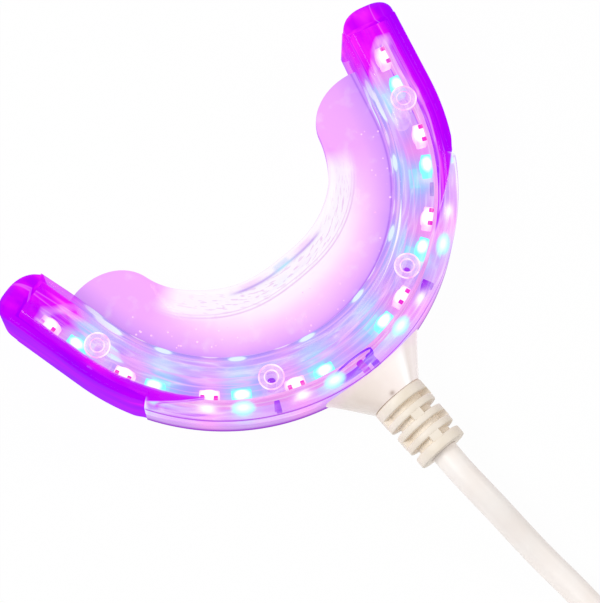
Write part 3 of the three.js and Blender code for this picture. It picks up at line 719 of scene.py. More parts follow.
@dataclass(frozen=True)
class ChannelFinish(LitPlastic):
    """Housing plastic: lavender between the lamps, cyan by the blue ones, pink by the red ones."""

    tones: Stops = ((0.3, "b096fb"), (0.5, "bea0fc"), (0.68, "d2aefc"))
    cloud: Grain = Grain(0.16, 0.35, 0.3, scale=1.1)
    wall: Span = (28.3, 28.9)
    wall_tone: Tone = Tone("eeacf9", 0.6)
    band: Span = (27.9, 0.95)
    band_tone: Tone = Tone("f8aaf4", 0.5)
    light_spread: float = 1.9
    light_middle: Span = (26.9, 2.6)
    streak: Grain = Grain(1.0, 0.25, 0.4)
    streak_range: Span = (0.3, 0.62)
    wide_spread: float = 2.9
    wide_edge: Span = (28.0, 26.6)
    wide_tone: Tone = Tone("a8d8fe", 0.75)
    blue_tone: Tone = Tone("8eecfd", 0.4)
    block_length: Span = (1.5, 1.25)
    block_inner: Span = (25.1, 25.2)
    block_outer: Span = (26.7, 26.5)
    block_code: str = "92f4fe"
    block_shares: Span = (0.55, 0.35)
    leaf_highlight_place: Span = (36.6, 2.8)
    leaf_highlight_radius: Span = (25.1, 0.42)
    leaf_highlight_range: Span = (0.36, 0.54)
    leaf_highlight_tone: Tone = Tone("dcffff")
    red_tone: Tone = Tone("ff9cee", 0.8)
    core_spread: float = 0.9
    core_radius: Span = (27.4, 1.0)
    core_tone: Tone = Tone("f2ffff", 0.85)
    line_sway: float = 0.5
    lines: tuple = ((24.95, 0.07, 1.0), (25.75, 0.06, 0.8), (26.5, 0.06, 0.5))
    line_tone: Tone = Tone("fbc0fd", 0.7)
    pink_wall: Span = (27.2, 28.8)
    pink_tone: Tone = Tone("ffa2fa", 0.6)
    edge_radius: Span = (30.55, 30.8)
    edge_height: Span = (2.7, 1.1)
    edge_tone: Tone = Tone("9800d0")

    def dress(self, sheet: NodeSheet) -> None:
        """Mixes the lamps' glow along the channel and darkens the outer wall to violet."""
        spot = Spot(sheet)
        cloud = spot.noise(self.cloud)
        spot.start(cloud, self.tones)
        spot.lay(spot.radius.rise(*self.wall), self.wall_tone)
        spot.lay(spot.radius.bell(*self.band), self.band_tone)
        blue, red = spot.lamp_light(self.light_spread)
        near = spot.radius.bell(*self.light_middle)
        self.draw_blue(spot, blue * near)
        spot.lay(red * near, self.red_tone)
        core = spot.off_lamp(LAMPS.blue(0)).bell(0.0, self.core_spread)
        spot.lay(core * spot.radius.bell(*self.core_radius), self.core_tone)
        bend = spot.radius + (cloud - 0.5) * self.line_sway
        lines = sum(bend.bell(middle, width) * strength for middle, width, strength in self.lines)
        spot.lay(lines, self.line_tone)
        spot.lay(red * spot.radius.rise(*self.pink_wall), self.pink_tone)
        spot.lay(spot.radius.rise(*self.edge_radius) * spot.height.bell(*self.edge_height), self.edge_tone)
        spot.lay(VIOLET.share(spot), VIOLET.colour(spot))
        self.shine(sheet, spot.colour, self.alpha)

    def draw_blue(self, spot: Spot, light: Term) -> None:
        """Draws the blue lamps' light on the window: a wide haze, streaks, a block and a leaf-shaped painted
        highlight.

        Args:
            spot: the place to colour.
            light: how much of the blue lamps' light reaches it.
        """
        off_blue = spot.off_lamp(LAMPS.blue(0))
        streak = spot.noise(self.streak).rise(*self.streak_range)
        spot.lay(off_blue.bell(0.0, self.wide_spread) * spot.radius.rise(*self.wide_edge), self.wide_tone)
        spot.lay(light * (1 + streak), self.blue_tone)
        block = off_blue.rise(*self.block_length) * spot.radius.rise(*self.block_inner)
        block = block * spot.radius.rise(*self.block_outer)
        base, extra = self.block_shares
        spot.lay(block * (base + extra * streak), Tone(self.block_code))
        # Painted highlight: a pale cyan leaf in each arm.
        leaf = spot.far.bell(*self.leaf_highlight_place) * spot.radius.bell(*self.leaf_highlight_radius)
        spot.lay(leaf.rise(*self.leaf_highlight_range), self.leaf_highlight_tone)


@dataclass(frozen=True)
class ClearShellFinish(LitPlastic):
    """Upper half of the housing: nearly clear, with its walls drawn as pale and violet lines."""

    tones: Stops = ((0.3, "cc98fa"), (0.46, "ecb2fb"), (0.56, "fff0ff"), (0.68, "dca4fa"))
    streak: Grain = Grain(0.08, 0.8, 0.1, scale=1.5)
    outer: Span = (29.4, 30.4)
    front: Span = (28.5, 27.0)
    light_spread: float = 1.0
    # mirror_*: painted reflections of the lamps in the front wall; glint_*: a painted highlight where the
    # front wall meets each arm.
    mirror_width: float = 0.5
    frame_width: float = 0.95
    mirror_radius: float = 29.8
    mirror_height: Span = (8.0, 9.5)
    frame_height: Span = (7.5, 9.0)
    frame_range: Span = (0.35, 0.55)
    frame_power: float = 0.4
    blue_tone: Tone = Tone("a8f4ff", 0.4)
    red_tone: Tone = Tone("ffb0f0", 0.6)
    frame_tone: Tone = Tone("8cf4ff", 0.85)
    highlight_tone: Tone = Tone("ffffff")
    edge_radius: Span = (30.42, 30.7)
    edge_height: Span = (9.1, 0.6)
    edge_tone: Tone = Tone("a408dc")
    glint_place: Span = (28.35, 0.3)
    glint_radius: Span = (29.7, 30.3)
    window: Span = (24.3, 0.4)
    line: Span = (0.56, 0.03)
    base_alpha: float = 0.03

    def dress(self, sheet: NodeSheet) -> None:
        """Makes the roof clear and the standing walls firmer, with painted reflections of the lamps and a
        painted highlight where the front wall meets each arm.
        """
        spot = Spot(sheet)
        streak = spot.noise(self.streak)
        spot.start(streak, self.tones)
        outer = spot.radius.rise(*self.outer)
        blue, red = spot.lamp_light(self.light_spread)
        front = spot.far.rise(*self.front)
        # Painted reflections of the lamps in the standing front wall.
        mirror = spot.radius.bell(self.mirror_radius, self.mirror_width)
        mirrored = (blue + red).held() * mirror * spot.height.rise(*self.mirror_height) * front
        halo = spot.radius.bell(self.mirror_radius, self.frame_width) * spot.height.rise(*self.frame_height)
        framed = (blue ** self.frame_power * halo * front).rise(*self.frame_range)
        edge = spot.radius.rise(*self.edge_radius) * spot.height.bell(*self.edge_height)
        violet = VIOLET.share(spot)
        # Painted highlight where the front wall meets each arm.
        glint = spot.far.bell(*self.glint_place) * spot.radius.rise(*self.glint_radius)
        for share, tone in ((blue * outer, self.blue_tone), (red * outer, self.red_tone),
                            (framed, self.frame_tone), (mirrored, self.highlight_tone), (edge, self.edge_tone),
                            (violet, VIOLET.colour(spot)), (glint, self.highlight_tone)):
            spot.lay(share, tone)
        alpha = self.base_alpha
        for share, strength in ((spot.radius.bell(*self.window), 0.2), (streak.bell(*self.line), 0.12),
                                (outer, 0.16), (violet, 0.85), (mirrored, 0.8), (framed, 0.45), (edge, 0.8),
                                (glint, 0.8)):
            alpha = alpha + share * strength
        self.shine(sheet, spot.colour, alpha.held() * self.alpha)


@dataclass(frozen=True)
class GlowFinish(LitPlastic):
    """Small clear piece that takes the colour of the light round it."""

    shade: str = "d9b0fb"
    cloud_scale: float = 700.0
    cloud_range: Span = (0.35, 0.65)

    def dress(self, sheet: NodeSheet) -> None:
        """Mixes its two tones in soft clouds."""
        cloud = sheet.cloud(self.cloud_scale).rise(*self.cloud_range)
        self.shine(sheet, sheet.mix(cloud, self.shade, self.colour), self.alpha)


@dataclass(frozen=True)
class LampFinish(LitPlastic):
    """Lamp body that burns white in its middle and keeps its colour at its ends."""

    halo: str = "ff8fe0"
    core: float = 0.9
    softness: float = 0.3
    wave: float = 0.5
    flatness: float = 2.2

    def dress(self, sheet: NodeSheet) -> None:
        """Colours the body by the distance from its middle and lets it shine."""
        spot = Spot(sheet)
        wave = (sheet.cloud(self.mottle_scale) - 0.5) * self.wave
        far = (spot.path * spot.path + spot.radius * spot.radius * self.flatness) ** 0.5
        middle = (far + wave).rise(self.core + self.softness, self.core - self.softness)
        self.shine(sheet, sheet.mix(middle, self.halo, self.colour), 1.0)


@dataclass(frozen=True)
class StripFinish(LitPlastic):
    """Flexible circuit film with tracks along it."""

    colour: str = "f6a6f0"
    track_first: float = 6.0
    track_pitch: float = 2.6
    track_width: float = 0.28
    track_tone: Tone = Tone("ffeafd", 0.7)
    fleck_scale: float = 500.0
    fleck_range: Span = (0.45, 0.7)
    fleck_tone: Tone = Tone("dd90f7", 0.5)

    def dress(self, sheet: NodeSheet) -> None:
        """Pink film with pale tracks along it and flecks of the lamps' light."""
        height = sheet.split(sheet.object_point())[2]
        track = (height / MM).nearest(self.track_first, self.track_pitch).bell(0.0, self.track_width)
        film = sheet.tint(track, self.colour, self.track_tone)
        fleck = sheet.cloud(self.fleck_scale).rise(*self.fleck_range)
        self.shine(sheet, sheet.tint(fleck, film, self.fleck_tone), 1.0)


@dataclass(frozen=True)
class StemFinish(Finish):
    """Milky translucent plastic with painted shade on one side, a painted highlight line along the other and
    the lit housing's pink light painted on its root.
    """

    # Across the width: painted shade towards -X, then a painted highlight line and a paler band towards +X.
    tones: Stops = ((0.0, "d9cdc4"), (0.2, "e6dad2"), (0.5, "f2e7e2"), (0.66, "fbf3f0"), (0.75, "ffffff"),
                    (0.81, "efe6e2"), (0.88, "fdf4f2"), (1.0, "eee2e0"))
    half_width: float = 7.9
    narrowing: float = 4.2
    root_margin: float = 0.2 * MM
    root_reach: Span = (0.3, 0.0)
    root_glow_tone: Tone = Tone("fbd4f0", 0.45)
    cloud_scale: float = 260.0
    cloud_range: Span = (0.4, 0.75)
    cloud_tone: Tone = Tone("fdf8f4", 0.35)
    dimple: Span = (-0.7, 0.36)
    dimple_along: Span = (0.35, 0.3)
    dimple_up: Span = (6.5 * MM, 7.5 * MM)
    dimple_shade_tone: Tone = Tone("a8948a", 0.8)
    alpha: float = 0.95
    glow: float = 0.16
    grain_scale: float = 700.0
    grain_strength: float = 0.15
    grain_depth: float = 0.1 * MM

    def dress(self, sheet: NodeSheet) -> None:
        """Paints shade and a highlight line across the stem's width, the lit housing's pink light on its root
        and shade in the small dimple by the relief.
        """
        x, y, z = sheet.split(sheet.object_point())
        low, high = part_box("stem")
        away = y.rise(high.y - self.root_margin, low.y)
        across = x / MM / (self.half_width - self.narrowing * away)
        colour = sheet.ramp((across * 0.5 + 0.5).held(), self.tones)
        # Painted pink light from the lit housing on the stem's root.
        colour = sheet.tint(away.rise(*self.root_reach), colour, self.root_glow_tone)
        cloud = sheet.cloud(self.cloud_scale, 3.0).rise(*self.cloud_range)
        colour = sheet.tint(cloud, colour, self.cloud_tone)
        # Painted shade in the small dimple by the relief.
        dimple = (x / MM).bell(*self.dimple) * ((y - low.y) / MM).bell(*self.dimple_along)
        colour = sheet.tint(dimple * z.rise(*self.dimple_up), colour, self.dimple_shade_tone)
        sheet.set(Base_Color=colour, Alpha=self.alpha, Emission_Color=colour, Emission_Strength=self.glow)
        self.roughen(sheet)


@dataclass(frozen=True)
class SleeveFinish(Finish):
    """Rubbery finish of the relief and the cord, a little darker in soft random patches."""

    shade: str = "cfc0a4"
    flow_scale: float = 300.0
    flow_range: Span = (0.3, 0.8)
    flow_strength: float = 0.55
    grain_scale: float = 3000.0
    grain_strength: float = 0.1
    grain_depth: float = 0.04 * MM

    def dress(self, sheet: NodeSheet) -> None:
        """Adds faint mould flow and a fine grain."""
        flow = sheet.cloud(self.flow_scale, 4.0).rise(*self.flow_range)
        sheet.set(Base_Color=sheet.tint(flow, self.colour, Tone(self.shade, self.flow_strength)))
        self.roughen(sheet)


@dataclass(frozen=True)
class BrushedMetal(Finish):
    """Bright stamped metal with fine lines."""

    stretch: float = 40.0
    line_scale: float = 220.0
    line_roughness: float = 0.18

    def dress(self, sheet: NodeSheet) -> None:
        """Lays fine scratches along the piece."""
        x, y, z = sheet.split(sheet.object_point())
        line = sheet.noise(sheet.joined(x * self.stretch, y, z * self.stretch), self.line_scale, 3.0)
        sheet.set(Base_Color=self.colour, Roughness=self.roughness + self.line_roughness * line)


PLATE = BitePlateFinish("bite_plate_elastomer", roughness=0.22, coat=0.15, glow=0.75, alpha=0.95)
KERB = KerbFinish("tray_wall_elastomer", roughness=0.14, coat=0.12, glow=0.7, alpha=0.62)
WING = WingFinish("violet_wing_elastomer", roughness=0.12, coat=0.05, glow=0.97, body=0.1)
CHANNEL = ChannelFinish("lit_channel_plastic", roughness=0.1, coat=0.1, glow=0.72, alpha=0.96)
CLEAR = ClearShellFinish("clear_shell_plastic", roughness=0.05, coat=0.2, glow=0.9, alpha=0.97)
RED_LAMP = LampFinish("red_lamp_resin", "ffffff", 0.2, glow=1.1, halo="ffb4f0", core=1.15)
BLUE_LAMP = LampFinish("blue_lamp_resin", "fbffff", 0.2, glow=1.1, halo="74f0fb", core=0.88)
# The red lamps' magenta light, painted on the leads, which glow with it.
LEADS = GlowFinish("lamp_leads_magenta", "ff18c8", 0.3, 0.3, glow=0.8, shade="e010cc")
STRIP = StripFinish("strip_film", glow=0.7)
# The lamps' violet light, painted on the resistors, which glow with it.
CHIP = GlowFinish("resistor_body", "a68cf0", glow=0.6, shade="c89cf4")
STEM = StemFinish("milky_stem_plastic", roughness=0.25, coat=0.4)
RELIEF = SleeveFinish("relief_elastomer", "f8efe3", 0.5, shade="e8d8bc")
CORD = SleeveFinish("cord_jacket", "fffaf6", 0.42, shade="faeee6")
TIE = Finish("tie_strap", "ecebe8", 0.8)
STEEL = BrushedMetal("plug_steel", "c9cbce", 0.2, metallic=1.0)
GOLD = BrushedMetal("contact_gold", "e3bd62", 0.2, metallic=1.0)
TONGUE = Finish("tongue_plastic", "f4f4f1")
# The housing's violet light, painted on both wires, which glow with it.
RED_WIRE = GlowFinish("red_wire_jacket", "b810e8", glow=0.9, shade="a000d8")
BLACK_WIRE = GlowFinish("black_wire_jacket", "8a00f4", glow=0.9, shade="7400e0")
DARK_RIM = GlowFinish("violet_passage_rim", "7800f4", 0.2, 0.05, glow=0.85, shade="9000ff")
VIOLET_PIN = GlowFinish("violet_pin", "8c00e8", 0.25, 0.3, glow=0.75, shade="a824f0")
CLEAR_PIN = GlowFinish("clear_pin", "f0b4fb", 0.25, 0.3, glow=0.8, shade="c890f4")
# Thin glowing rings that stand for the highlights on the posts' flange edges and bore mouths.
POST_HIGHLIGHT_RING = GlowFinish("pale_rim", "fff0ff", 0.2, glow=0.9, shade="f8a8f2")
CLEAR_POST = GlowFinish("clear_post_plastic", "ffd6fb", 0.08, 1.0, glow=0.75, shade="d8a8fb", alpha=0.5)
BUBBLE = GlowFinish("bubble_skin", "ffdcff", 0.08, 0.3, glow=0.9, shade="f2b4fb", alpha=0.8)


# Pieces and meshes

class Slot(Enum):
    """Material slots of the record, one for each kind of new piece."""

    HOUSING = "clear_housing"
    TRAY = "clear_tray"
    RED = "red_lamp"
    BLUE = "blue_lamp"
    STEM = "stem"
    RELIEF = "relief"
    CORD = "cord"
    TIE = "tie"


def seat(piece: bpy.types.Object, slot: Slot, *nodes: str) -> bpy.types.Object:
    """Rides a finished piece on the body and hides the solids that it stands for.

    Args:
        piece: the finished mesh object.
        slot: the record's slot for its finish; not used.
        nodes: the solids that it stands for.

    Returns:
        The piece.
    """
    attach(piece, ROOT)
    if nodes:
        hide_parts(*nodes)
    LOG.info("made %s", piece.name)
    return piece


def linked(name: str, data: bpy.types.ID) -> bpy.types.Object:
    """Returns a new object in the scene that shows a mesh, a curve, a lamp or a camera."""
    thing = bpy.data.objects.new(name, data)
    bpy.context.scene.collection.objects.link(thing)
    return thing


def plain_mesh(name: str, bm: bmesh.types.BMesh) -> bpy.types.Mesh:
    """Turns a bmesh into a mesh and frees the bmesh."""
    mesh = bpy.data.meshes.new(name)
    bm.to_mesh(mesh)
    bm.free()
    return mesh


def new_object(name: str, bm: bmesh.types.BMesh, finish: Finish, sharp: float = 38.0) -> bpy.types.Object:
    """Turns a bmesh into a smooth object with its faces outwards and one finish.

    Args:
        name: the piece's name.
        bm: its bmesh, which is freed.
        finish: its finish.
        sharp: edges past this many degrees stay sharp.

    Returns:
        The object.
    """
    bmesh.ops.recalc_face_normals(bm, faces=bm.faces)
    mesh = plain_mesh(name, bm)
    mesh.shade_smooth()
    mesh.set_sharp_from_angle(angle=math.radians(sharp))
    mesh.materials.append(finish.material())
    return linked(name, mesh)


def skin(bm: bmesh.types.BMesh, rings: Sequence[Ring], capped: bool = True) -> list[list[bmesh.types.BMVert]]:
    """Skins a row of closed rings with equal counts.

    Args:
        bm: the bmesh that takes the faces.
        rings: the rings, in order.
        capped: whether each end is closed from its middle.

    Returns:
        The vertices of each ring.
    """
    rows = [[bm.verts.new(point) for point in ring] for ring in rings]
    count = len(rows[0])
    for near, far in zip(rows, rows[1:]):
        for i in range(count):
            j = (i + 1) % count
            bm.faces.new((near[i], near[j], far[j], far[i]))
    if capped:
        for row in (rows[0], rows[-1]):
            middle = bm.verts.new(sum((vert.co for vert in row), Vector()) / count)
            for i in range(count):
                bm.faces.new((row[i], row[(i + 1) % count], middle))
    return rows


def skin_loop(rings: Sequence[Ring]) -> bmesh.types.BMesh:
    """Returns a skin round a row of rings whose last one joins the first, as on a pipe with a wall."""
    bm = bmesh.new()
    skin(bm, [*rings, rings[0]], capped=False)
    bmesh.ops.remove_doubles(bm, verts=bm.verts, dist=WELD)
    return bm


def turned(profile: Sequence[Span], centre: Vector, sides: int) -> bmesh.types.BMesh:
    """Turns a profile of radius and height round an upright axis.

    Args:
        profile: radii and heights; a radius of nought closes an end.
        centre: where the axis stands.
        sides: steps round.

    Returns:
        The closed bmesh.
    """
    bm = bmesh.new()
    rows = []
    for radius, height in profile:
        turns = [2 * math.pi * i / sides for i in range(sides if radius > 0 else 1)]
        rows.append([bm.verts.new(centre + Vector((radius * math.cos(turn), radius * math.sin(turn), height)))
                     for turn in turns])
    pairs = list(zip(rows, rows[1:]))
    if profile[0][0] > 0:
        pairs.append((rows[-1], rows[0]))
    for near, far in pairs:
        for i in range(sides):
            j = (i + 1) % sides
            corners = [near[i % len(near)], near[j % len(near)], far[j % len(far)], far[i % len(far)]]
            bm.faces.new(list(dict.fromkeys(corners)))
    return bm


def rounded_block(size: Vector, rounding: float, steps: int = 3) -> bmesh.types.BMesh:
    """Returns a bmesh block round the origin with rounded edges.

    Args:
        size: its three sides.
        rounding: radius of its edges.
        steps: steps in each rounding.

    Returns:
        The bmesh.
    """
    bm = bmesh.new()
    bmesh.ops.create_cube(bm, size=1.0, matrix=Matrix.Diagonal((*size, 1.0)))
    bmesh.ops.bevel(bm, geom=bm.edges, offset=rounding, segments=steps, profile=0.5, affect="EDGES")
    return bm


def upright_turn(spot: Vector, angle: float) -> Matrix:
    """Returns the matrix that turns a shape about the upright axis and stands it on a spot."""
    return Matrix.Translation(spot) @ Matrix.Rotation(angle, 4, "Z")


# Shapes that follow the arch

@dataclass(frozen=True)
class Place:
    """A place on the arch: an angle from the front, then a length along the straight arm."""

    angle: float
    along: float = 0.0

    @property
    def side(self) -> float:
        """Returns -1 left of the middle and 1 right of it."""
        return -1.0 if self.angle < 0 else 1.0


@dataclass(frozen=True)
class Arch:
    """The plan that the tray, the housing and the strip share."""

    centre_y: float
    splay: float = math.radians(14.5)
    depth_share: float = 1.04
    strip_radius: float = 28.25 * MM
    joint_angle: float = math.radians(57)
    fine_steps: int = 120

    @property
    def turn(self) -> float:
        """Returns how far the arch turns before each arm runs straight."""
        return math.pi / 2 - self.splay

    def point(self, place: Place, radius: float, height: float) -> Vector:
        """Returns the point at a place, a radius and a height."""
        x = math.sin(place.angle) * radius + place.side * math.sin(self.splay) * place.along
        y = -math.cos(place.angle) * radius + math.cos(self.splay) * place.along
        return Vector((x, self.centre_y + self.depth_share * y, height))

    def at(self, distance: float) -> Place:
        """Returns the place that lies a length along the strip from the middle."""
        arc = self.strip_radius * self.turn
        if abs(distance) <= arc:
            return Place(distance / self.strip_radius)
        return Place(math.copysign(self.turn, distance), abs(distance) - arc)

    def path(self, place: Place) -> float:
        """Returns the length along the strip of a place, with its side's sign."""
        return place.angle * self.strip_radius + place.side * place.along

    def arc(self, start: float, end: float, steps: int) -> list[Place]:
        """Returns places round the arch between two angles."""
        return [Place(blend(start, end, i / steps)) for i in range(steps + 1)]

    def arm(self, side: int, lengths: Sequence[float]) -> list[Place]:
        """Returns places along one straight arm."""
        return [Place(side * self.turn, along) for along in lengths]

    def whole(self, lengths: Sequence[float]) -> list[Place]:
        """Returns places from the left arm's end round to the right arm's end."""
        left = self.arm(-1, lengths)[::-1]
        return left + self.arc(-self.turn, self.turn, self.fine_steps) + self.arm(1, lengths)


class ArchMesh:
    """A mesh swept along the arch that remembers where each of its points lies."""

    def __init__(self, arch: Arch) -> None:
        """Starts an empty mesh on an arch."""
        self.arch = arch
        self.bm = bmesh.new()
        self.layer = self.bm.verts.layers.float_vector.new(PLACE_ATTRIBUTE)

    def sweep(self, places: Sequence[Place], section: Callable[[Place], Section]) -> None:
        """Sweeps a closed section along places and closes both ends.

        Args:
            places: where the section stands.
            section: gives radius and height of each point at a place.
        """
        sections = [section(place) for place in places]
        rings = [[self.arch.point(place, radius, height) for radius, height in points]
                 for place, points in zip(places, sections)]
        start = len(self.bm.verts)
        rows = skin(self.bm, rings)
        for place, points, row in zip(places, sections, rows):
            path = self.arch.path(place) / MM
            for vert, (radius, height) in zip(row, points):
                vert[self.layer] = Vector((path, radius / MM, height / MM))
        self.bm.verts.ensure_lookup_table()
        for vert in self.bm.verts[start:]:
            if vert[self.layer].length == 0:
                near = [edge.other_vert(vert)[self.layer] for edge in vert.link_edges]
                vert[self.layer] = sum(near, Vector()) / len(near)


@dataclass
class Tray:
    """Soft mouth tray: bite plate with its raised lip, wall against the window, wings and solid tips."""

    arch: Arch
    kerb_outer: float = 23.7 * MM
    kerb_thickness: float = 0.9 * MM
    kerb_tip_thickness: float = 0.5 * MM
    kerb_height: float = 6.4 * MM
    kerb_arm_height: float = 10.8 * MM
    kerb_growth_start: float = 0.75
    kerb_growth_span: float = 0.95
    kerb_corner: float = 0.22 * MM
    plate_thickness: float = 1.8 * MM
    plate_front: float = 12.8 * MM
    plate_side: float = 15.0 * MM
    plate_arm: float = 6.1 * MM
    plate_edge_share: float = 0.62
    lobe_end_share: float = 0.995
    lip_height: float = 8.4 * MM
    lip_width: float = 1.1 * MM
    lip_flare: float = 3.3 * MM
    lip_fade_start: float = math.radians(44)
    lip_clearance: float = 0.05 * MM
    lip_shares: tuple = ((0.0, 0.62), (0.06, 0.9), (0.22, 1.0), (0.45, 0.62), (0.68, 0.22), (1.0, 0.0))
    wing_across: Span = (29.6 * MM, 30.6 * MM)
    wing_corners: Span = (0.28 * MM, 0.42 * MM)
    wing_taper: float = 0.35 * MM
    wing_taper_angle: float = 0.06
    joint_gap: float = 0.3 * MM
    tip_start: float = 9.78 * MM
    tip_length: float = 3.0 * MM
    tip_rounding: float = 2.2 * MM
    tip_narrowing: float = 1.6 * MM
    tip_lowering: float = 0.9 * MM
    tip_corner: float = 0.95 * MM
    arc_steps: int = 24
    arm_steps: int = 8
    round_steps: int = 14
    lobe_steps: int = 16

    @property
    def kerb_inner(self) -> float:
        """Returns the radius of the wall's inner face."""
        return self.kerb_outer - self.kerb_thickness

    def plate_edge(self, place: Place) -> float:
        """Returns the radius of the plate's inner edge at a place."""
        rise = eased_sine(place.angle) / eased_sine(self.arch.turn)
        edge = blend(self.plate_front, self.plate_side, rise)
        lobe = 1 - math.sqrt(1 - min(place.along / self.plate_arm, 1.0) ** 2)
        return edge + (self.kerb_inner - self.plate_side) * lobe

    def plate_section(self, place: Place) -> Section:
        """Returns the plate's section with its lip standing above and below."""
        edge = self.plate_edge(place)
        fade = (abs(place.angle) - self.lip_fade_start) / (self.arch.turn - self.lip_fade_start)
        amount = 1 - smooth(fade)
        half = self.plate_thickness / 2
        crest = blend(half, self.lip_height / 2, amount)
        flare = self.lip_width + self.lip_flare * amount
        root = self.kerb_outer - self.kerb_thickness / 2
        brink = self.lip_shares[1][0]
        upper = []
        for across, up in smooth_through(self.lip_shares):
            base = half * blend(self.plate_edge_share, 1.0, min(across / brink, 1.0))
            upper.append((min(edge + across * flare, root - self.lip_clearance), base + (crest - half) * up))
        lower = [(radius, -height) for radius, height in reversed(upper)]
        points = lower + upper + [(root, half), (root, -half)]
        return [(radius, MIDDLE + height) for radius, height in points]

    def kerb_section(self, place: Place) -> Section:
        """Returns the section of the wall that stands against the window."""
        progress = abs(place.angle) / self.arch.turn + place.along / self.tip_start
        growth = smooth((progress - self.kerb_growth_start) / self.kerb_growth_span)
        half = blend(self.kerb_height, self.kerb_arm_height, growth) / 2
        thin = blend(self.kerb_thickness, self.kerb_tip_thickness, min(place.along / self.tip_start, 1.0))
        return rounded((self.kerb_outer - thin, self.kerb_outer), (MIDDLE - half, MIDDLE + half),
                       self.kerb_corner, self.kerb_corner, 3)

    def wing_section(self, place: Place) -> Section:
        """Returns the thin wing's section, drawn in a little at its front end."""
        inner, outer = self.wing_across
        past_joint = (abs(place.angle) - self.wing_start) / self.wing_taper_angle
        taper = self.wing_taper * (1 - smooth(past_joint)) if place.along == 0 else 0.0
        return rounded((inner + taper / 2, outer - taper / 2), (taper, HEIGHT - taper), *self.wing_corners)

    def tip_section(self, place: Place) -> Section:
        """Returns the section of the solid tip, drawn in at its end."""
        progress = (place.along - self.tip_start) / self.tip_length
        reach = max(place.along - self.round_start, 0.0) / self.tip_rounding
        inset = self.tip_rounding * (1 - math.sqrt(max(1 - reach ** 2, 0.0)))
        inner = self.kerb_outer - self.kerb_tip_thickness + self.tip_narrowing * progress + inset
        low = inset + self.tip_lowering * progress
        outer = self.wing_across[1] - inset
        return rounded((inner, outer), (low, HEIGHT - low), self.tip_corner, self.tip_corner)

    @property
    def wing_start(self) -> float:
        """Returns the angle at which each wing starts, clear of the housing's front wall."""
        return self.arch.joint_angle + self.joint_gap / self.wing_across[1]

    @property
    def round_start(self) -> float:
        """Returns where along the arm the tip's rounding starts."""
        return self.tip_start + self.tip_length - self.tip_rounding

    def swept(self, name: str, finish: Finish, sweeps: Sequence[tuple]) -> bpy.types.Object:
        """Builds one piece of the tray.

        Args:
            name: its name.
            finish: its finish.
            sweeps: places and section of each sweep in it.

        Returns:
            The piece.
        """
        mesh = ArchMesh(self.arch)
        for places, section in sweeps:
            mesh.sweep(places, section)
        return seat(new_object(name, mesh.bm, finish), Slot.TRAY, "mouth_tray")

    def build(self) -> None:
        """Builds the plate, the wall and both wings."""
        lobe = [length * self.lobe_end_share for length in slowing(self.plate_arm, self.lobe_steps)[1:]]
        self.swept("bite_plate", PLATE, [(self.arch.whole(lobe), self.plate_section)])
        reach = self.tip_start + self.joint_gap
        lengths = [reach * i / self.arm_steps for i in range(1, self.arm_steps + 1)]
        self.swept("tray_wall", KERB, [(self.arch.whole(lengths), self.kerb_section)])
        for name, side in (("left", -1), ("right", 1)):
            self.wing(name, side)

    def wing(self, name: str, side: int) -> None:
        """Builds one wing with its solid tip.

        Args:
            name: the side's name.
            side: -1 for the left arm, 1 for the right.
        """
        arc = self.arch.arc(side * self.wing_start, side * self.arch.turn, self.arc_steps)[:-1]
        arm = self.arch.arm(side, [self.tip_start * i / self.arm_steps for i in range(self.arm_steps + 1)])
        rounds = [self.round_start + length for length in slowing(self.tip_rounding, self.round_steps)[:-1]]
        tip = self.arch.arm(side, [self.tip_start, (self.tip_start + self.round_start) / 2, *rounds])
        self.swept(f"wing_{name}", WING, [(arc + arm, self.wing_section), (tip, self.tip_section)])


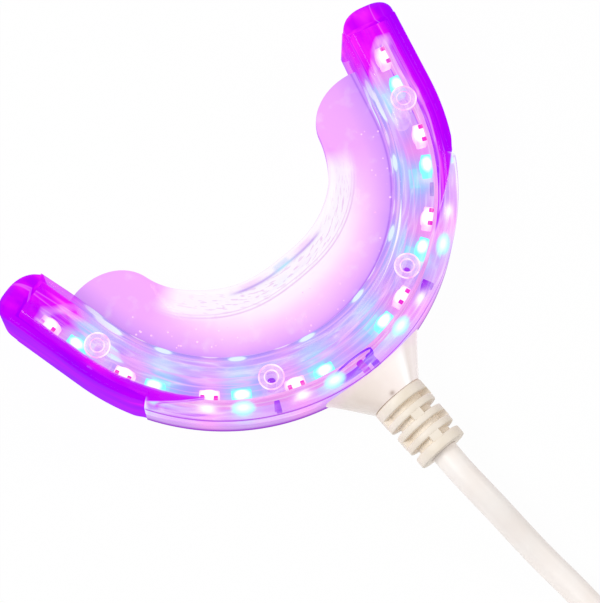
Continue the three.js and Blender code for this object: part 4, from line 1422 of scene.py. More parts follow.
@dataclass
class Housing:
    """Clear housing in two halves, with its posts, pins and ribs."""

    arch: Arch
    front_radius: float = FRONT_RADIUS
    arm_outer: float = 29.3 * MM
    window: float = 24.0 * MM
    window_wall: float = 0.9 * MM
    wall: float = 1.0 * MM
    arm_wall: float = 0.6 * MM
    arm_length: float = 9.18 * MM
    front_rounding: float = 2.6 * MM
    arm_rounding: float = 0.8 * MM
    window_rounding: float = 0.6 * MM
    hollow_rounding: float = 0.2 * MM
    parting: float = 0.05 * MM
    step_angle: float = 0.0008
    front_steps: int = 110
    back_steps: int = 16
    arm_steps: int = 6
    post_centre: float = 26.5 * MM
    post_radius: float = 1.3 * MM
    post_bore: float = 0.75 * MM
    post_reach: float = 2.986 * MM
    post_sides: int = 40
    roof_gap: float = 0.04 * MM
    flange_radius: float = 1.6 * MM
    flange_corner: float = 0.12 * MM
    flange_thickness: float = 0.7 * MM
    flange_slope: float = 0.4 * MM
    # Rings of painted highlight round each flange's edge and each bore's mouth.
    rims: tuple = (("rim", 1.6 * MM, 0.1 * MM), ("mouth", 0.9 * MM, 0.07 * MM))
    rim_sides: int = 8
    pin_radius: float = 0.55 * MM
    pin_foot: float = 3.6 * MM
    front_pin_top: float = 8.5 * MM
    back_pin_top: float = 9.0 * MM
    pin_shoulder: Span = (0.4 * MM, 0.1 * MM)
    pin_point_share: float = 0.7
    pin_sides: int = 24
    rib: tuple = (0.7 * MM, 1.5 * MM, 6.0 * MM)
    rib_corner: float = 0.1 * MM
    rib_gap: float = 0.9 * MM
    rib_middle: float = 4.2 * MM

    def profile(self, across: Span, top: float, inside: float, outside: float) -> Section:
        """Returns an open profile from its inner foot over the top to its outer foot.

        Args:
            across: radius of its inner and outer face.
            top: its height above the parting.
            inside: rounding of its inner shoulder.
            outside: rounding of its outer shoulder.

        Returns:
            The points, in radius and height above the parting.
        """
        inner, outer = across
        return [(inner, 0.0), *corner((inner + inside, top - inside), inside, 1.0, 0.5),
                *corner((outer - outside, top - outside), outside, 0.5, 0.0), (outer, 0.0)]

    def stood(self, points: Section, side: int) -> Section:
        """Returns a profile stood above the parting for side 1, or below it for side -1."""
        return [(radius, MIDDLE + side * max(height, self.parting)) for radius, height in points]

    def section(self, place: Place, side: int) -> Section:
        """Returns the closed section of one half, walls and roof, at a place."""
        at_front = place.along == 0 and abs(place.angle) <= self.arch.joint_angle
        outer, wall = (self.front_radius, self.wall) if at_front else (self.arm_outer, self.arm_wall)
        rounding = self.front_rounding if at_front else self.arm_rounding
        shell = self.profile((self.window, outer), MIDDLE, self.window_rounding, rounding)
        hollow = self.profile((self.window + self.window_wall, outer - wall), MIDDLE - self.wall,
                              self.hollow_rounding, max(rounding - self.wall, self.hollow_rounding))
        return self.stood(shell + hollow[::-1], side)

    def end_section(self, side: int) -> Section:
        """Returns the closed section of an end wall of one half."""
        shell = self.profile((self.window, self.arm_outer), MIDDLE, self.window_rounding, self.arm_rounding)
        return self.stood(shell, side)

    def places(self) -> list[Place]:
        """Returns the places of the sweep, with a step where the front wall ends."""
        edge = self.arch.joint_angle
        length = self.arm_length - self.wall
        lengths = [length * i / self.arm_steps for i in range(1, self.arm_steps + 1)]
        back = self.arch.arc(edge + self.step_angle, self.arch.turn, self.back_steps)
        front = self.arch.arc(-edge, edge, self.front_steps)
        left = [Place(-place.angle) for place in reversed(back)]
        return self.arch.arm(-1, lengths)[::-1] + left + front + back + self.arch.arm(1, lengths)

    def half(self, name: str, side: int, finish: Finish, node: str) -> None:
        """Builds one half of the housing.

        Args:
            name: its name.
            side: 1 for the upper half, -1 for the lower.
            finish: its finish.
            node: the solid that it stands for.
        """
        mesh = ArchMesh(self.arch)
        mesh.sweep(self.places(), lambda place: self.section(place, side))
        for arm in (-1, 1):
            ends = self.arch.arm(arm, [self.arm_length - self.wall, self.arm_length])
            mesh.sweep(ends, lambda place: self.end_section(side))
        seat(new_object(name, mesh.bm, finish), Slot.HOUSING, node)

    def post(self, number: int, place: Place) -> None:
        """Builds one post with its flange, its pin, two bright rings of painted highlight and the rib behind
        it.

        Args:
            number: the post's number.
            place: where on the arch it stands.
        """
        centre = self.arch.point(place, self.post_centre, 0.0)
        near_front = abs(place.angle) < self.arch.joint_angle / 2
        tone = VIOLET_PIN if near_front else CLEAR_PIN
        roof = HEIGHT - self.wall
        top = roof - self.roof_gap
        under = roof - self.flange_thickness
        post = [(self.post_bore, self.wall), (self.post_bore, top),
                (self.flange_radius - self.flange_corner, top),
                (self.flange_radius, top - self.flange_corner), (self.flange_radius, under),
                (self.post_radius, under - self.flange_slope), (self.post_radius, self.wall)]
        pin_top = self.front_pin_top if near_front else self.back_pin_top
        shoulder, point = self.pin_shoulder
        pin = [(0.0, self.pin_foot), (self.pin_radius, self.pin_foot), (self.pin_radius, pin_top - shoulder),
               (self.pin_radius * self.pin_point_share, pin_top - point), (0.0, pin_top)]
        tube = new_object(f"housing_post_{number}", turned(post, centre, self.post_sides), CLEAR_POST)
        seat(tube, Slot.HOUSING, "upper_shell", "lower_shell")
        seat(new_object(f"housing_pin_{number}", turned(pin, centre, self.pin_sides), tone),
             Slot.HOUSING, "upper_shell")
        # Two thin glowing rings: painted highlights on the flange's edge and the bore's mouth.
        for kind, radius, thick in self.rims:
            turns = [2 * math.pi * i / self.rim_sides for i in range(self.rim_sides)]
            ring = [(radius + thick * math.cos(turn), roof + thick * math.sin(turn)) for turn in turns]
            hoop = turned(ring, centre, self.post_sides)
            seat(new_object(f"post_{kind}_{number}", hoop, POST_HIGHLIGHT_RING), Slot.HOUSING)
        rib = rounded_block(Vector(self.rib), self.rib_corner, 2)
        reach = self.post_centre + self.post_radius + self.rib[1] / 2 + self.rib_gap
        spot = self.arch.point(place, reach, self.rib_middle)
        bmesh.ops.transform(rib, matrix=upright_turn(spot, place.angle), verts=rib.verts)
        seat(new_object(f"post_rib_{number}", rib, tone), Slot.HOUSING, "lower_shell")

    def build(self) -> None:
        """Builds both halves and the four posts."""
        self.half("lower_housing", -1, CHANNEL, "lower_shell")
        self.half("upper_housing", 1, CLEAR, "upper_shell")
        front = (LAMPS.red(0) + self.post_reach) / self.arch.strip_radius
        back = (LAMPS.blue(LAMPS.pairs - 1) - self.post_reach) / self.arch.strip_radius
        for number, angle in enumerate((-back, -front, front, back), start=1):
            self.post(number, Place(angle))


# Small pieces that repeat

class RepeatTree:
    """A Geometry Nodes tree that stamps one small shape on each point of a mesh."""

    NODES = {
        "start": "NodeGroupInput",
        "points": "GeometryNodeMeshToPoints",
        "stamp": "GeometryNodeObjectInfo",
        "turn": "GeometryNodeInputNamedAttribute",
        "size": "GeometryNodeInputNamedAttribute",
        "about": "ShaderNodeCombineXYZ",
        "grown": "ShaderNodeMath",
        "place": "GeometryNodeInstanceOnPoints",
        "real": "GeometryNodeRealizeInstances",
        "dress": "GeometryNodeSetMaterial",
        "end": "NodeGroupOutput",
    }
    LINKS = (
        ("start", "Geometry", "points", "Mesh"),
        ("start", "Stamp", "stamp", "Object"),
        ("points", "Points", "place", "Points"),
        ("stamp", "Geometry", "place", "Instance"),
        ("turn", "Attribute", "about", "Z"),
        ("about", "Vector", "place", "Rotation"),
        ("size", "Attribute", "grown", 0),
        ("start", "Scale", "grown", 1),
        ("grown", "Value", "place", "Scale"),
        ("place", "Instances", "real", "Geometry"),
        ("real", "Geometry", "dress", "Geometry"),
        ("dress", "Geometry", "end", "Geometry"),
    )

    def __init__(self, name: str, finish: Finish) -> None:
        """Builds the tree with its named inputs.

        Args:
            name: the name of the tree and of the piece that it makes.
            finish: the finish of the stamped shapes.
        """
        self.name = name
        self.tree = bpy.data.node_groups.new(name, "GeometryNodeTree")
        face = self.tree.interface
        face.new_socket("Geometry", in_out="INPUT", socket_type="NodeSocketGeometry")
        self.stamp = face.new_socket("Stamp", in_out="INPUT", socket_type="NodeSocketObject")
        self.scale = face.new_socket("Scale", in_out="INPUT", socket_type="NodeSocketFloat")
        face.new_socket("Geometry", in_out="OUTPUT", socket_type="NodeSocketGeometry")
        nodes = {key: self.tree.nodes.new(kind) for key, kind in self.NODES.items()}
        for key in ("turn", "size"):
            nodes[key].data_type = "FLOAT"
            nodes[key].inputs["Name"].default_value = key
        nodes["dress"].inputs["Material"].default_value = finish.material()
        for source, out, target, into in self.LINKS:
            self.tree.links.new(nodes[source].outputs[out], nodes[target].inputs[into])

    def apply(self, points: bpy.types.Mesh, stamp: bmesh.types.BMesh, scale: float = 1.0) -> bpy.types.Object:
        """Stamps the shape on the points.

        Args:
            points: a mesh whose vertices carry "turn" and may carry "size", added to the scale.
            stamp: the small shape round the origin.
            scale: its size.

        Returns:
            One plain mesh object.
        """
        bmesh.ops.recalc_face_normals(stamp, faces=stamp.faces)
        shape = plain_mesh(f"{self.name}_stamp", stamp)
        shape.shade_smooth()
        pattern = linked(shape.name, shape)
        carrier = linked(f"{self.name}_carrier", points)
        modifier = carrier.modifiers.new("repeat", "NODES")
        modifier.node_group = self.tree
        modifier[self.stamp.identifier] = pattern
        modifier[self.scale.identifier] = scale
        depsgraph = bpy.context.evaluated_depsgraph_get()
        mesh = bpy.data.meshes.new_from_object(carrier.evaluated_get(depsgraph))
        carrier.modifiers.remove(modifier)
        for helper in (pattern, carrier):
            bpy.data.objects.remove(helper)
        mesh.name = self.name
        return linked(self.name, mesh)


@dataclass
class Lamps:
    """The lamps on the strip: bevelled bodies with a low dome, and two leads on each red one."""

    arch: Arch
    size: tuple = (2.6 * MM, 1.3 * MM, 2.6 * MM)
    corner: float = 0.18 * MM
    back: float = 28.0 * MM
    back_gap: float = 0.05 * MM
    dome: float = 0.95 * MM
    dome_share: float = 0.34
    dome_sink: float = 0.02 * MM
    dome_steps: tuple[int, int] = (20, 12)
    lead: tuple = (0.55 * MM, 0.62 * MM, 0.3 * MM)
    lead_corner: float = 0.1 * MM
    lead_share: float = 0.33
    lead_inset: float = 0.35 * MM
    lead_rise: float = 0.12 * MM

    def lamp(self, colour: str, side: str, number: int, distance: float) -> None:
        """Builds one lamp in its place.

        Args:
            colour: "blue" or "red".
            side: "left" or "right".
            number: its number on that side.
            distance: its place along the strip, signed.
        """
        finish, slot = (BLUE_LAMP, Slot.BLUE) if colour == "blue" else (RED_LAMP, Slot.RED)
        depth = self.size[1]
        bm = rounded_block(Vector(self.size), self.corner)
        around, up = self.dome_steps
        dome = bmesh.ops.create_uvsphere(bm, u_segments=around, v_segments=up, radius=self.dome)["verts"]
        flat = Matrix.Diagonal((1, self.dome_share, 1, 1))
        seated = Matrix.Translation((0, depth / 2 - self.dome_sink, 0)) @ flat
        bmesh.ops.transform(bm, matrix=seated, verts=dome)
        layer = bm.verts.layers.float_vector.new(PLACE_ATTRIBUTE)
        for vert in bm.verts:
            vert[layer] = vert.co / MM
        place = self.arch.at(distance)
        spot = self.arch.point(place, self.back - self.back_gap - depth / 2, MIDDLE)
        bmesh.ops.transform(bm, matrix=upright_turn(spot, place.angle), verts=bm.verts)
        seat(new_object(f"lamp_{colour}_{side}_{number}", bm, finish), slot, f"led_{colour}_{side}_{number}")

    def leads(self) -> None:
        """Lays two leads on each red lamp by a Geometry Nodes tree, as one mesh."""
        bm = bmesh.new()
        turn = bm.verts.layers.float.new("turn")
        top = MIDDLE + self.size[2] / 2 + self.lead_rise
        for pair in range(LAMPS.pairs):
            for side in (-1, 1):
                distance = side * LAMPS.red(pair)
                for offset in (-1, 1):
                    spot = self.arch.at(distance + offset * self.size[0] * self.lead_share)
                    vert = bm.verts.new(self.arch.point(spot, self.back - self.lead_inset, top))
                    vert[turn] = self.arch.at(distance).angle
        stamp = rounded_block(Vector(self.lead), self.lead_corner, 2)
        seat(RepeatTree("lamp_leads", LEADS).apply(plain_mesh("lead_places", bm), stamp), Slot.RED)

    def build(self) -> None:
        """Builds all the lamps and their leads."""
        for side, sign in (("left", -1), ("right", 1)):
            for pair in range(LAMPS.pairs):
                self.lamp("blue", side, pair + 1, sign * LAMPS.blue(pair))
                self.lamp("red", side, pair + 1, sign * LAMPS.red(pair))
        self.leads()


@dataclass
class Bubbles:
    """Small bubbles inside the soft plate."""

    tray: Tray
    count: int = 90
    seed: int = 7
    sizes: Span = (0.08 * MM, 0.18 * MM)
    edge_margin: float = 4.6 * MM
    outer: float = 22.4 * MM
    heights: Span = (0.72, 0.86)

    def build(self) -> None:
        """Scatters the bubbles with a fixed seed, as one mesh."""
        dice = random.Random(self.seed)
        bm = bmesh.new()
        turn = bm.verts.layers.float.new("turn")
        size = bm.verts.layers.float.new("size")
        arch = self.tray.arch
        for _ in range(self.count):
            place = Place(dice.uniform(-1, 1) * arch.turn)
            radius = dice.uniform(self.tray.plate_edge(place) + self.edge_margin, self.outer)
            vert = bm.verts.new(arch.point(place, radius, MIDDLE + dice.uniform(*self.heights) * MM))
            vert[turn] = dice.uniform(0, math.pi)
            vert[size] = dice.uniform(*self.sizes) / MM
        stamp = bmesh.new()
        bmesh.ops.create_icosphere(stamp, subdivisions=2, radius=1.0 * MM)
        places = plain_mesh("bubble_places", bm)
        seat(RepeatTree("plate_bubbles", BUBBLE).apply(places, stamp, 0.0), Slot.TRAY)


# Stem, strain relief and cord

@dataclass
class Stem:
    """Milky stem between the housing and the strain relief, with a rim round the wires' way in."""

    arch: Arch
    front_radius: float = FRONT_RADIUS
    length: float = 4.0 * MM
    base: Span = (15.4 * MM, 8.6 * MM)
    end: Span = (7.2 * MM, 7.0 * MM)
    passage: Span = (6.4 * MM, 4.6 * MM)
    bore: Span = (4.0 * MM, 4.0 * MM)
    taper_power: float = 0.8
    squareness: float = 2.4
    rim: Span = (5.6 * MM, 7.6 * MM)
    rim_squareness: float = 2.2
    rim_side: float = 0.2 * MM
    rim_foot: float = 1.2 * MM
    rim_depth: float = 0.25 * MM
    rim_seat: float = 2.7 * MM
    rim_offset: float = -1.4 * MM
    rim_bulge: float = 0.5 * MM
    bulge_top_share: float = 0.15
    bulge_reach_share: float = 0.65
    bulge_power: float = 0.6
    sides: int = 64
    steps: int = 18

    def ring(self, size: Span, y_of: Callable[[float], float], squareness: float) -> Ring:
        """Returns an oval ring across the stem.

        Args:
            size: its width and height.
            y_of: gives the place along the stem for a place across it.
            squareness: 2 is an ellipse, more is squarer.

        Returns:
            The ring's points.
        """
        points = []
        for i in range(self.sides):
            turn = 2 * math.pi * i / self.sides
            x, z = (side / 2 * math.copysign(abs(part) ** (2 / squareness), part)
                    for side, part in zip(size, (math.cos(turn), math.sin(turn))))
            points.append(Vector((x, y_of(x), MIDDLE + z)))
        return points

    def face_y(self, x: float) -> float:
        """Returns where the housing's front face lies at a place across it, with the fit."""
        radius = self.front_radius + FIT
        return self.arch.centre_y - self.arch.depth_share * math.sqrt(radius ** 2 - x ** 2)

    def build(self) -> None:
        """Builds the stem and the rim round the wires' way in."""
        end_y = self.arch.centre_y - FRONT_FACE - FIT - self.length
        outside, inside = [], []
        for i in range(self.steps + 1):
            share = i / self.steps

            def y_of(x: float, share: float = share) -> float:
                """Returns the place between the housing's face and the stem's end."""
                return blend(self.face_y(x), end_y, share)

            taper = share ** self.taper_power
            outer = tuple(blend(start, end, taper) for start, end in zip(self.base, self.end))
            inner = tuple(blend(start, end, share) for start, end in zip(self.passage, self.bore))
            outside.append(self.ring(outer, y_of, self.squareness))
            inside.append(self.ring(inner, y_of, 2.0))
        stem = new_object("cord_stem", skin_loop(outside + inside[::-1]), STEM)
        seat(stem, Slot.STEM, "stem")
        self.build_rim()

    def build_rim(self) -> None:
        """Builds the dark oval rim round the wires' way in, which stands on the housing's floor."""
        width, height = self.rim
        aside = Vector((self.rim_offset, 0, 0))
        drop = aside + Vector((0, 0, -(self.rim_foot - self.rim_side) / 2))
        deep = Vector((0, self.rim_depth, 0))

        def y_of(x: float) -> float:
            """Returns the rim's place along the stem."""
            return self.face_y(x + self.rim_offset) + self.rim_seat

        def bulge(point: Vector) -> Vector:
            """Returns how far the rim's lower half stands out towards the stem."""
            above = MIDDLE + self.bulge_top_share * height - point.z
            share = min(max(above, 0.0) / (self.bulge_reach_share * height), 1.0)
            return Vector((0, -self.rim_bulge * share ** self.bulge_power, 0))

        inner = self.ring(self.rim, y_of, self.rim_squareness)
        wider = (width + 2 * self.rim_side, height + self.rim_side + self.rim_foot)
        outer = self.ring(wider, y_of, self.rim_squareness)
        band = [[point + aside + bulge(point) for point in inner],
                [point + drop + bulge(point) for point in outer],
                [point + drop + deep for point in outer],
                [point + aside + deep for point in inner]]
        seat(new_object("passage_rim", skin_loop(band), DARK_RIM), Slot.HOUSING)


@dataclass
class Relief:
    """Ribbed strain relief: a core, rounded ribs, and bridges that stand in turn at the sides and above."""

    arch: Arch
    start: float = 36.536 * MM
    length: float = 8.97 * MM
    wide: float = 7.4 * MM
    narrow: float = 6.8 * MM
    core: float = 4.9 * MM
    bore: float = 3.64 * MM
    ribs: int = 5
    slot_share: float = 0.46
    rounding: float = 0.16 * MM
    rounding_share: float = 0.3
    bridge: float = 1.5 * MM
    overlap: float = 0.1 * MM
    sides: int = 64

    def middle(self, along: float) -> Vector:
        """Returns the middle of the relief at a distance from its start."""
        return Vector((0.0, self.arch.centre_y - self.start - along, MIDDLE))

    def rib_rings(self, rib: int, pitch: float, slot: float) -> list[Ring]:
        """Returns the rings of one rib, with the core's on the sides that face another rib.

        Args:
            rib: its number, from 0.
            pitch: from one rib to the next.
            slot: how wide the slots between them are.

        Returns:
            The rings, in order.
        """
        is_last = rib == self.ribs - 1
        low = rib * pitch + slot / 2 if rib else 0.0
        high = self.length if is_last else (rib + 1) * pitch - slot / 2
        radius = blend(self.wide, self.narrow, (rib + 0.5) / self.ribs) / 2
        part = self.rounding * self.rounding_share
        spots = [(low, radius - self.rounding), (low + part, radius - part), (low + self.rounding, radius),
                 (high - self.rounding, radius), (high - part, radius - part), (high, radius - self.rounding)]
        if rib:
            spots.insert(0, (low, self.core / 2))
        if not is_last:
            spots.append((high, self.core / 2))
        return [circle(self.middle(along), size, self.sides) for along, size in spots]

    def build(self) -> None:
        """Builds the relief as one row of ribs with its bridges."""
        pitch = self.length / self.ribs
        slot = pitch * self.slot_share
        rings = [circle(self.middle(0.0), self.bore / 2, self.sides)]
        for rib in range(self.ribs):
            rings += self.rib_rings(rib, pitch, slot)
        rings.append(circle(self.middle(self.length), self.bore / 2, self.sides))
        bm = skin_loop(rings)
        for gap in range(1, self.ribs):
            self.add_bridges(bm, gap, gap * pitch, slot)
        seat(new_object("ribbed_relief", bm, RELIEF, 50.0), Slot.RELIEF, "strain_relief")

    def add_bridges(self, bm: bmesh.types.BMesh, gap: int, along: float, slot: float) -> None:
        """Adds the two bridges across one slot.

        Args:
            bm: the bmesh that takes them.
            gap: the slot's number, from 1.
            along: the slot's distance from the start.
            slot: its width.
        """
        radius = blend(self.wide, self.narrow, gap / self.ribs) / 2
        depth = radius - self.core / 2
        size = (self.bridge, slot + 2 * self.overlap, depth + self.overlap)
        for side in (-1, 1):
            block = bmesh.ops.create_cube(bm, size=1.0)
            off_axis = (self.core / 2 + depth / 2 - self.overlap) * side
            turn = Matrix.Rotation(math.pi / 2 * (gap % 2), 4, "Y")
            matrix = (Matrix.Translation(self.middle(along)) @ turn
                      @ Matrix.Translation((0, 0, off_axis)) @ Matrix.Diagonal((*size, 1.0)))
            bmesh.ops.transform(bm, matrix=matrix, verts=block["verts"])


@dataclass
class CordSet:
    """The cord at its full length, its coil, its tie and its plug."""

    exit: Vector
    diameter: float = 3.6 * MM
    turn_gap: float = 0.6 * MM
    turns_per_layer: int = 4
    layers: int = 2
    mean_radius: float = 20.5 * MM
    tail_turns: float = 0.5
    climb_turns: float = 0.5
    steps_per_turn: int = 48
    length: float = 1.04
    route: tuple = (
        (0, 0, 0), (0, -0.0036, 0), (0.0002, -0.0068, -0.00035), (0.0005, -0.01, -0.00125),
        (0.0008, -0.0132, -0.0025), (0.0011, -0.0164, -0.00355), (0.0014, -0.0196, -0.0041),
        (0.0017, -0.023, -0.0042), (0.0019, -0.0266, -0.0042), (0.0021, -0.03, -0.0042),
        (0.0022, -0.0334, -0.0041), (0.0023, -0.0368, -0.0038), (0.0023, -0.04, -0.0035),
        (0.0023, -0.0432, -0.00332), (0.0023, -0.0468, -0.0033), (0.0023, -0.0504, -0.0033),
    )
    tail: tuple = (
        (0, 0, 0), (0, 0.002, 0), (-0.0001, 0.004, -0.0003), (-0.0005, 0.0062, -0.001),
        (-0.0011, 0.0084, -0.0019), (-0.0016, 0.0106, -0.0026), (-0.0019, 0.0126, -0.00295),
        (-0.0019, 0.0146, -0.003), (-0.0019, 0.0166, -0.003),
    )
    tie_thickness: float = 0.8 * MM
    tie_width: float = 3.4 * MM
    tie_seat: float = 0.1 * MM
    tie_corners: Span = (0.6 * MM, 1.4 * MM)
    tie_soft: float = 0.15 * MM
    lap_ends: Span = (3.0 * MM, 5.0 * MM)
    lap_share: float = 1.6
    lap_corner: float = 0.2 * MM
    plug_corner: float = 1.4 * MM
    neck: float = 5.5 * MM
    neck_profile: tuple = (
        (2.0, 0.0), (2.7, 0.15), (2.8, 0.9), (2.4, 1.2), (2.4, 1.7), (2.8, 2.0),
        (2.8, 2.9), (2.4, 3.2), (2.4, 3.7), (2.8, 4.0), (2.8, 6.2),
    )
    neck_sides: int = 40
    grip_ridges: int = 6
    grip_start: float = 4.5 * MM
    grip_pitch: float = 1.9 * MM
    grip_size: Span = (0.3 * MM, 0.7 * MM)
    grip_share: float = 0.55
    grip_sink: float = 0.1 * MM

    @property
    def pitch(self) -> float:
        """Returns how far apart neighbouring turns lie."""
        return self.diameter + self.turn_gap

    @property
    def spread(self) -> float:
        """Returns how far a layer of the coil reaches across."""
        return self.turns_per_layer * self.pitch

    @property
    def outer(self) -> float:
        """Returns the radius of the coil's outermost turn."""
        return self.mean_radius + self.spread / 2

    @property
    def centre(self) -> Vector:
        """Returns the middle of the coil's lower layer."""
        last = self.exit + Vector(self.route[-1])
        return last + Vector((-self.outer, -FIT - self.diameter, 0.0))

    def coil_point(self, turns: float) -> Vector:
        """Returns a point of the coil, which spirals in, climbs a layer and spirals out."""
        layer = min(int(turns // self.turns_per_layer), self.layers - 1)
        within = turns / self.turns_per_layer - layer
        inward = within if layer % 2 == 0 else 1 - within
        radius = self.outer - self.spread * inward
        start = self.turns_per_layer - self.climb_turns / 2
        climb = smooth((turns - start) / self.climb_turns)
        angle = -2 * math.pi * turns
        return self.centre + Vector((radius * math.cos(angle), radius * math.sin(angle), self.pitch * climb))

    def path(self) -> list[tuple[float, ...]]:
        """Returns the cord's whole middle line, from its exit to its plug."""
        run = smooth_through([self.exit + Vector(point) for point in self.route])
        total = self.layers * self.turns_per_layer - self.tail_turns
        steps = round(total * self.steps_per_turn)
        coil = [self.coil_point(total * i / steps) for i in range(steps + 1)]
        lead = coil[-1] + Vector((0, self.diameter + FIT, 0))
        return run + coil + smooth_through([lead + Vector(point) for point in self.tail])

    def cord(self) -> bpy.types.Object:
        """Builds the cord as one curve and returns it."""
        points = self.path()
        curve = bpy.data.curves.new("cord", "CURVE")
        curve.dimensions = "3D"
        curve.bevel_depth = self.diameter / 2
        curve.bevel_resolution = 5
        curve.use_fill_caps = True
        spline = curve.splines.new("POLY")
        spline.points.add(len(points) - 1)
        for spot, point in zip(spline.points, points):
            spot.co = (*point, 1.0)
        spline.use_smooth = True
        curve.materials.append(CORD.material())
        return seat(linked("cord", curve), Slot.CORD, "cord_run", "cord_coil", "cord_tail")

    def tie(self) -> bpy.types.Object:
        """Builds the strap round the coil, rounded at its corners, with its lapped end, and returns it."""
        thick, half = self.tie_thickness, self.tie_width / 2
        inside = self.diameter / 2 + self.tie_seat
        low, high = self.centre.z - inside, self.centre.z + (self.layers - 1) * self.pitch + inside
        near, far = self.outer - self.spread - inside, self.outer + inside
        inner_corner, outer_corner = self.tie_corners
        wider, taller = (near - thick, far + thick), (low - thick, high + thick)
        outer = rounded(wider, taller, outer_corner, outer_corner, 5)
        inner = rounded((near, far), (low, high), inner_corner, inner_corner, 5)
        lap_across = (near + self.lap_ends[0], far - self.lap_ends[1])
        lap = rounded(lap_across, (high + thick, high + self.lap_share * thick),
                      self.lap_corner, self.lap_corner, 3)

        def ring(points: Section, x: float) -> Ring:
            """Returns a ring of the strap at a place across its width."""
            return [Vector((self.centre.x + x, self.centre.y - radius, height)) for radius, height in points]

        soft = half - self.tie_soft
        bm = skin_loop([ring(inner, -half), ring(outer, -soft), ring(outer, soft), ring(inner, half)])
        skin(bm, [ring(lap, -soft), ring(lap, soft)])
        return seat(new_object("cord_strap", bm, TIE), Slot.TIE, "cord_tie")

    def plug_body(self) -> bpy.types.Object:
        """Builds the plug's moulded body with grip ridges and a ribbed neck, and returns it."""
        low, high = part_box("plug_body")
        middle = (low + high) / 2
        size = high - low - Vector((0.0, self.neck, 0.0))
        bm = rounded_block(size, self.plug_corner, 5)
        shift = Vector((middle.x, low.y + self.neck + size.y / 2, middle.z))
        bmesh.ops.translate(bm, vec=shift, verts=bm.verts)
        for side in (-1, 1):
            for ridge in range(self.grip_ridges):
                block = bmesh.ops.create_cube(bm, size=1.0)
                along = low.y + self.neck + self.grip_start + self.grip_pitch * ridge
                place = Vector((middle.x + side * (size.x / 2 - self.grip_sink), along, middle.z))
                shape = Matrix.Diagonal((*self.grip_size, size.z * self.grip_share, 1.0))
                bmesh.ops.transform(bm, matrix=Matrix.Translation(place) @ shape, verts=block["verts"])
        skin(bm, [circle(Vector((middle.x, low.y + along * MM, middle.z)), radius * MM, self.neck_sides)
                  for radius, along in self.neck_profile])
        return seat(new_object("plug_moulding", bm, CORD, 45.0), Slot.CORD, "plug_body")

    def build(self) -> None:
        cord, tie, body = self.cord(), self.tie(), self.plug_body()
        tuple(self.exit)


def dress_solids() -> None:
    """Gives each solid that stays in view its finish."""
    finishes = {
        "led_strip": STRIP, "resistor_left": CHIP, "resistor_right": CHIP,
        "wire_red": RED_WIRE, "wire_black": BLACK_WIRE,
        "plug_shell": STEEL, "plug_tongue": TONGUE,
        **{f"plug_contact_{i}": GOLD for i in range(1, 5)},
    }
    for node, finish in finishes.items():
        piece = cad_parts[node]
        piece.data.materials.clear()
        piece.data.materials.append(finish.material())
        LOG.info("dressed %s", node)


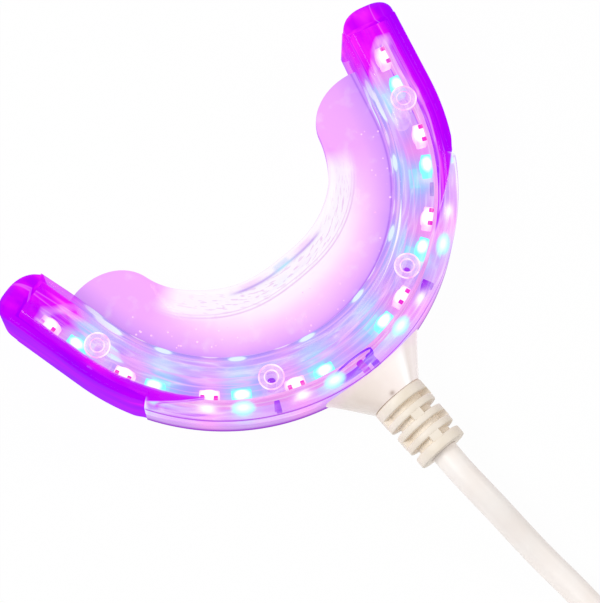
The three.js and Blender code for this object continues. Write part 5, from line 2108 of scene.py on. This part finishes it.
@dataclass
class Studio:
    """Camera, lamps, world and floor."""

    centre_y: float
    aim: tuple = (-1.4 * MM, -18.82 * MM, 6.0 * MM)
    elevation: float = math.radians(76)
    azimuth: float = math.radians(-40.04)
    distance: float = 0.35
    focal_pixels: float = 2722.0
    frame_height: int = 603
    sensor: float = 36.0
    near_clip: float = 0.01
    lamps: tuple = (
        ("key_lamp", (-0.25, 0.15, 0.45), 0.25, 1.6, WHITE),
        ("side_lamp", (0.35, -0.1, 0.3), 0.12, 0.4, (1.0, 0.93, 0.88)),
    )
    ambient: float = 0.45
    floor_depth: float = 0.1 * MM
    floor_size: float = 2.0
    floor_colour: Colour = (0.93, 0.93, 0.93)
    floor_roughness: float = 0.9
    floor_specular: float = 0.1
    floor_share: float = 0.97

    @property
    def target(self) -> Vector:
        """Returns the point that the camera and the lamps face."""
        x, y, z = self.aim
        return Vector((x, self.centre_y + y, z))

    def camera(self) -> None:
        """Places the camera at the photograph's viewing angle."""
        flat = math.cos(self.elevation)
        turn = self.azimuth
        ahead = Vector((-math.sin(turn) * flat, math.cos(turn) * flat, -math.sin(self.elevation)))
        data = bpy.data.cameras.new("camera")
        data.sensor_width = self.sensor
        data.lens = self.sensor * self.focal_pixels / self.frame_height
        data.clip_start = self.near_clip
        camera = linked("camera", data)
        camera.location = self.target - ahead * self.distance
        camera.rotation_euler = ahead.to_track_quat("-Z", "Y").to_euler()
        bpy.context.scene.camera = camera

    def lamp(self, name: str, shift: tuple, size: float, power: float, tint: Colour) -> None:
        """Adds one soft lamp that faces the object.

        Args:
            name: the lamp's name.
            shift: where it hangs, from the target.
            size: its side.
            power: its power.
            tint: its colour.
        """
        data = bpy.data.lights.new(name, "AREA")
        data.color = tint
        data.size = size
        data.energy = power
        lamp = linked(name, data)
        lamp.location = self.target + Vector(shift)
        lamp.rotation_euler = (-Vector(shift)).to_track_quat("-Z", "Y").to_euler()

    def world(self) -> None:
        """Makes an even white world that lights the object less than it shows."""
        world = bpy.data.worlds.new("studio")
        world.use_nodes = True
        nodes, links = world.node_tree.nodes, world.node_tree.links
        back = nodes["Background"]
        back.inputs["Color"].default_value = (*WHITE, 1.0)
        path = nodes.new("ShaderNodeLightPath")
        seen = nodes.new("ShaderNodeMath")
        seen.operation = "MULTIPLY_ADD"
        seen.inputs[1].default_value = 1 - self.ambient
        seen.inputs[2].default_value = self.ambient
        links.new(path.outputs["Is Camera Ray"], seen.inputs[0])
        links.new(seen.outputs[0], back.inputs["Strength"])
        bpy.context.scene.world = world

    def floor(self) -> None:
        """Lays a pale floor that keeps a faint shadow."""
        bm = bmesh.new()
        bmesh.ops.create_grid(bm, x_segments=1, y_segments=1, size=self.floor_size,
                              matrix=Matrix.Translation((0, 0, -self.floor_depth)))
        mesh = plain_mesh("floor", bm)
        sheet = NodeSheet("pale_floor")
        sheet.set(Base_Color=self.floor_colour, Roughness=self.floor_roughness,
                  Specular_IOR_Level=self.floor_specular)
        light = sheet.node("ShaderNodeEmission", {"Color": WHITE, "Strength": 1.0})
        rays = sheet.node("ShaderNodeLightPath")
        kinds = ("Camera", "Glossy", "Transmission")
        camera, glossy, through = (sheet.term(rays, f"Is {kind} Ray") for kind in kinds)
        both = sheet.node("ShaderNodeMixShader", {0: (camera + glossy + through).held() * self.floor_share})
        sheet.tree.links.new(sheet.shader.outputs[0], both.inputs[1])
        sheet.tree.links.new(light.outputs[0], both.inputs[2])
        sheet.tree.links.new(both.outputs[0], sheet.output.inputs["Surface"])
        mesh.materials.append(sheet.material)
        linked("floor", mesh)

    def build(self) -> None:
        """Sets the whole stage."""
        bpy.context.scene.view_settings.view_transform = "Standard"
        self.camera()
        self.world()
        self.floor()
        for lamp in self.lamps:
            self.lamp(*lamp)


def main() -> None:
    """Builds the light round its solids."""
    logging.basicConfig(level=logging.INFO, format="%(name)s: %(message)s")
    housing_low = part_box("lower_shell")[0]
    arch = Arch(centre_y=housing_low.y + FRONT_FACE)
    Studio(arch.centre_y).build()
    relief_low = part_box("strain_relief")[0]
    CordSet(Vector((0.0, relief_low.y - FIT, MIDDLE))).build()
    tray = Tray(arch)
    for assembly in (tray, Bubbles(tray), Housing(arch), Lamps(arch), Stem(arch), Relief(arch)):
        assembly.build()
    dress_solids()


if __name__ == "__main__":
    main()
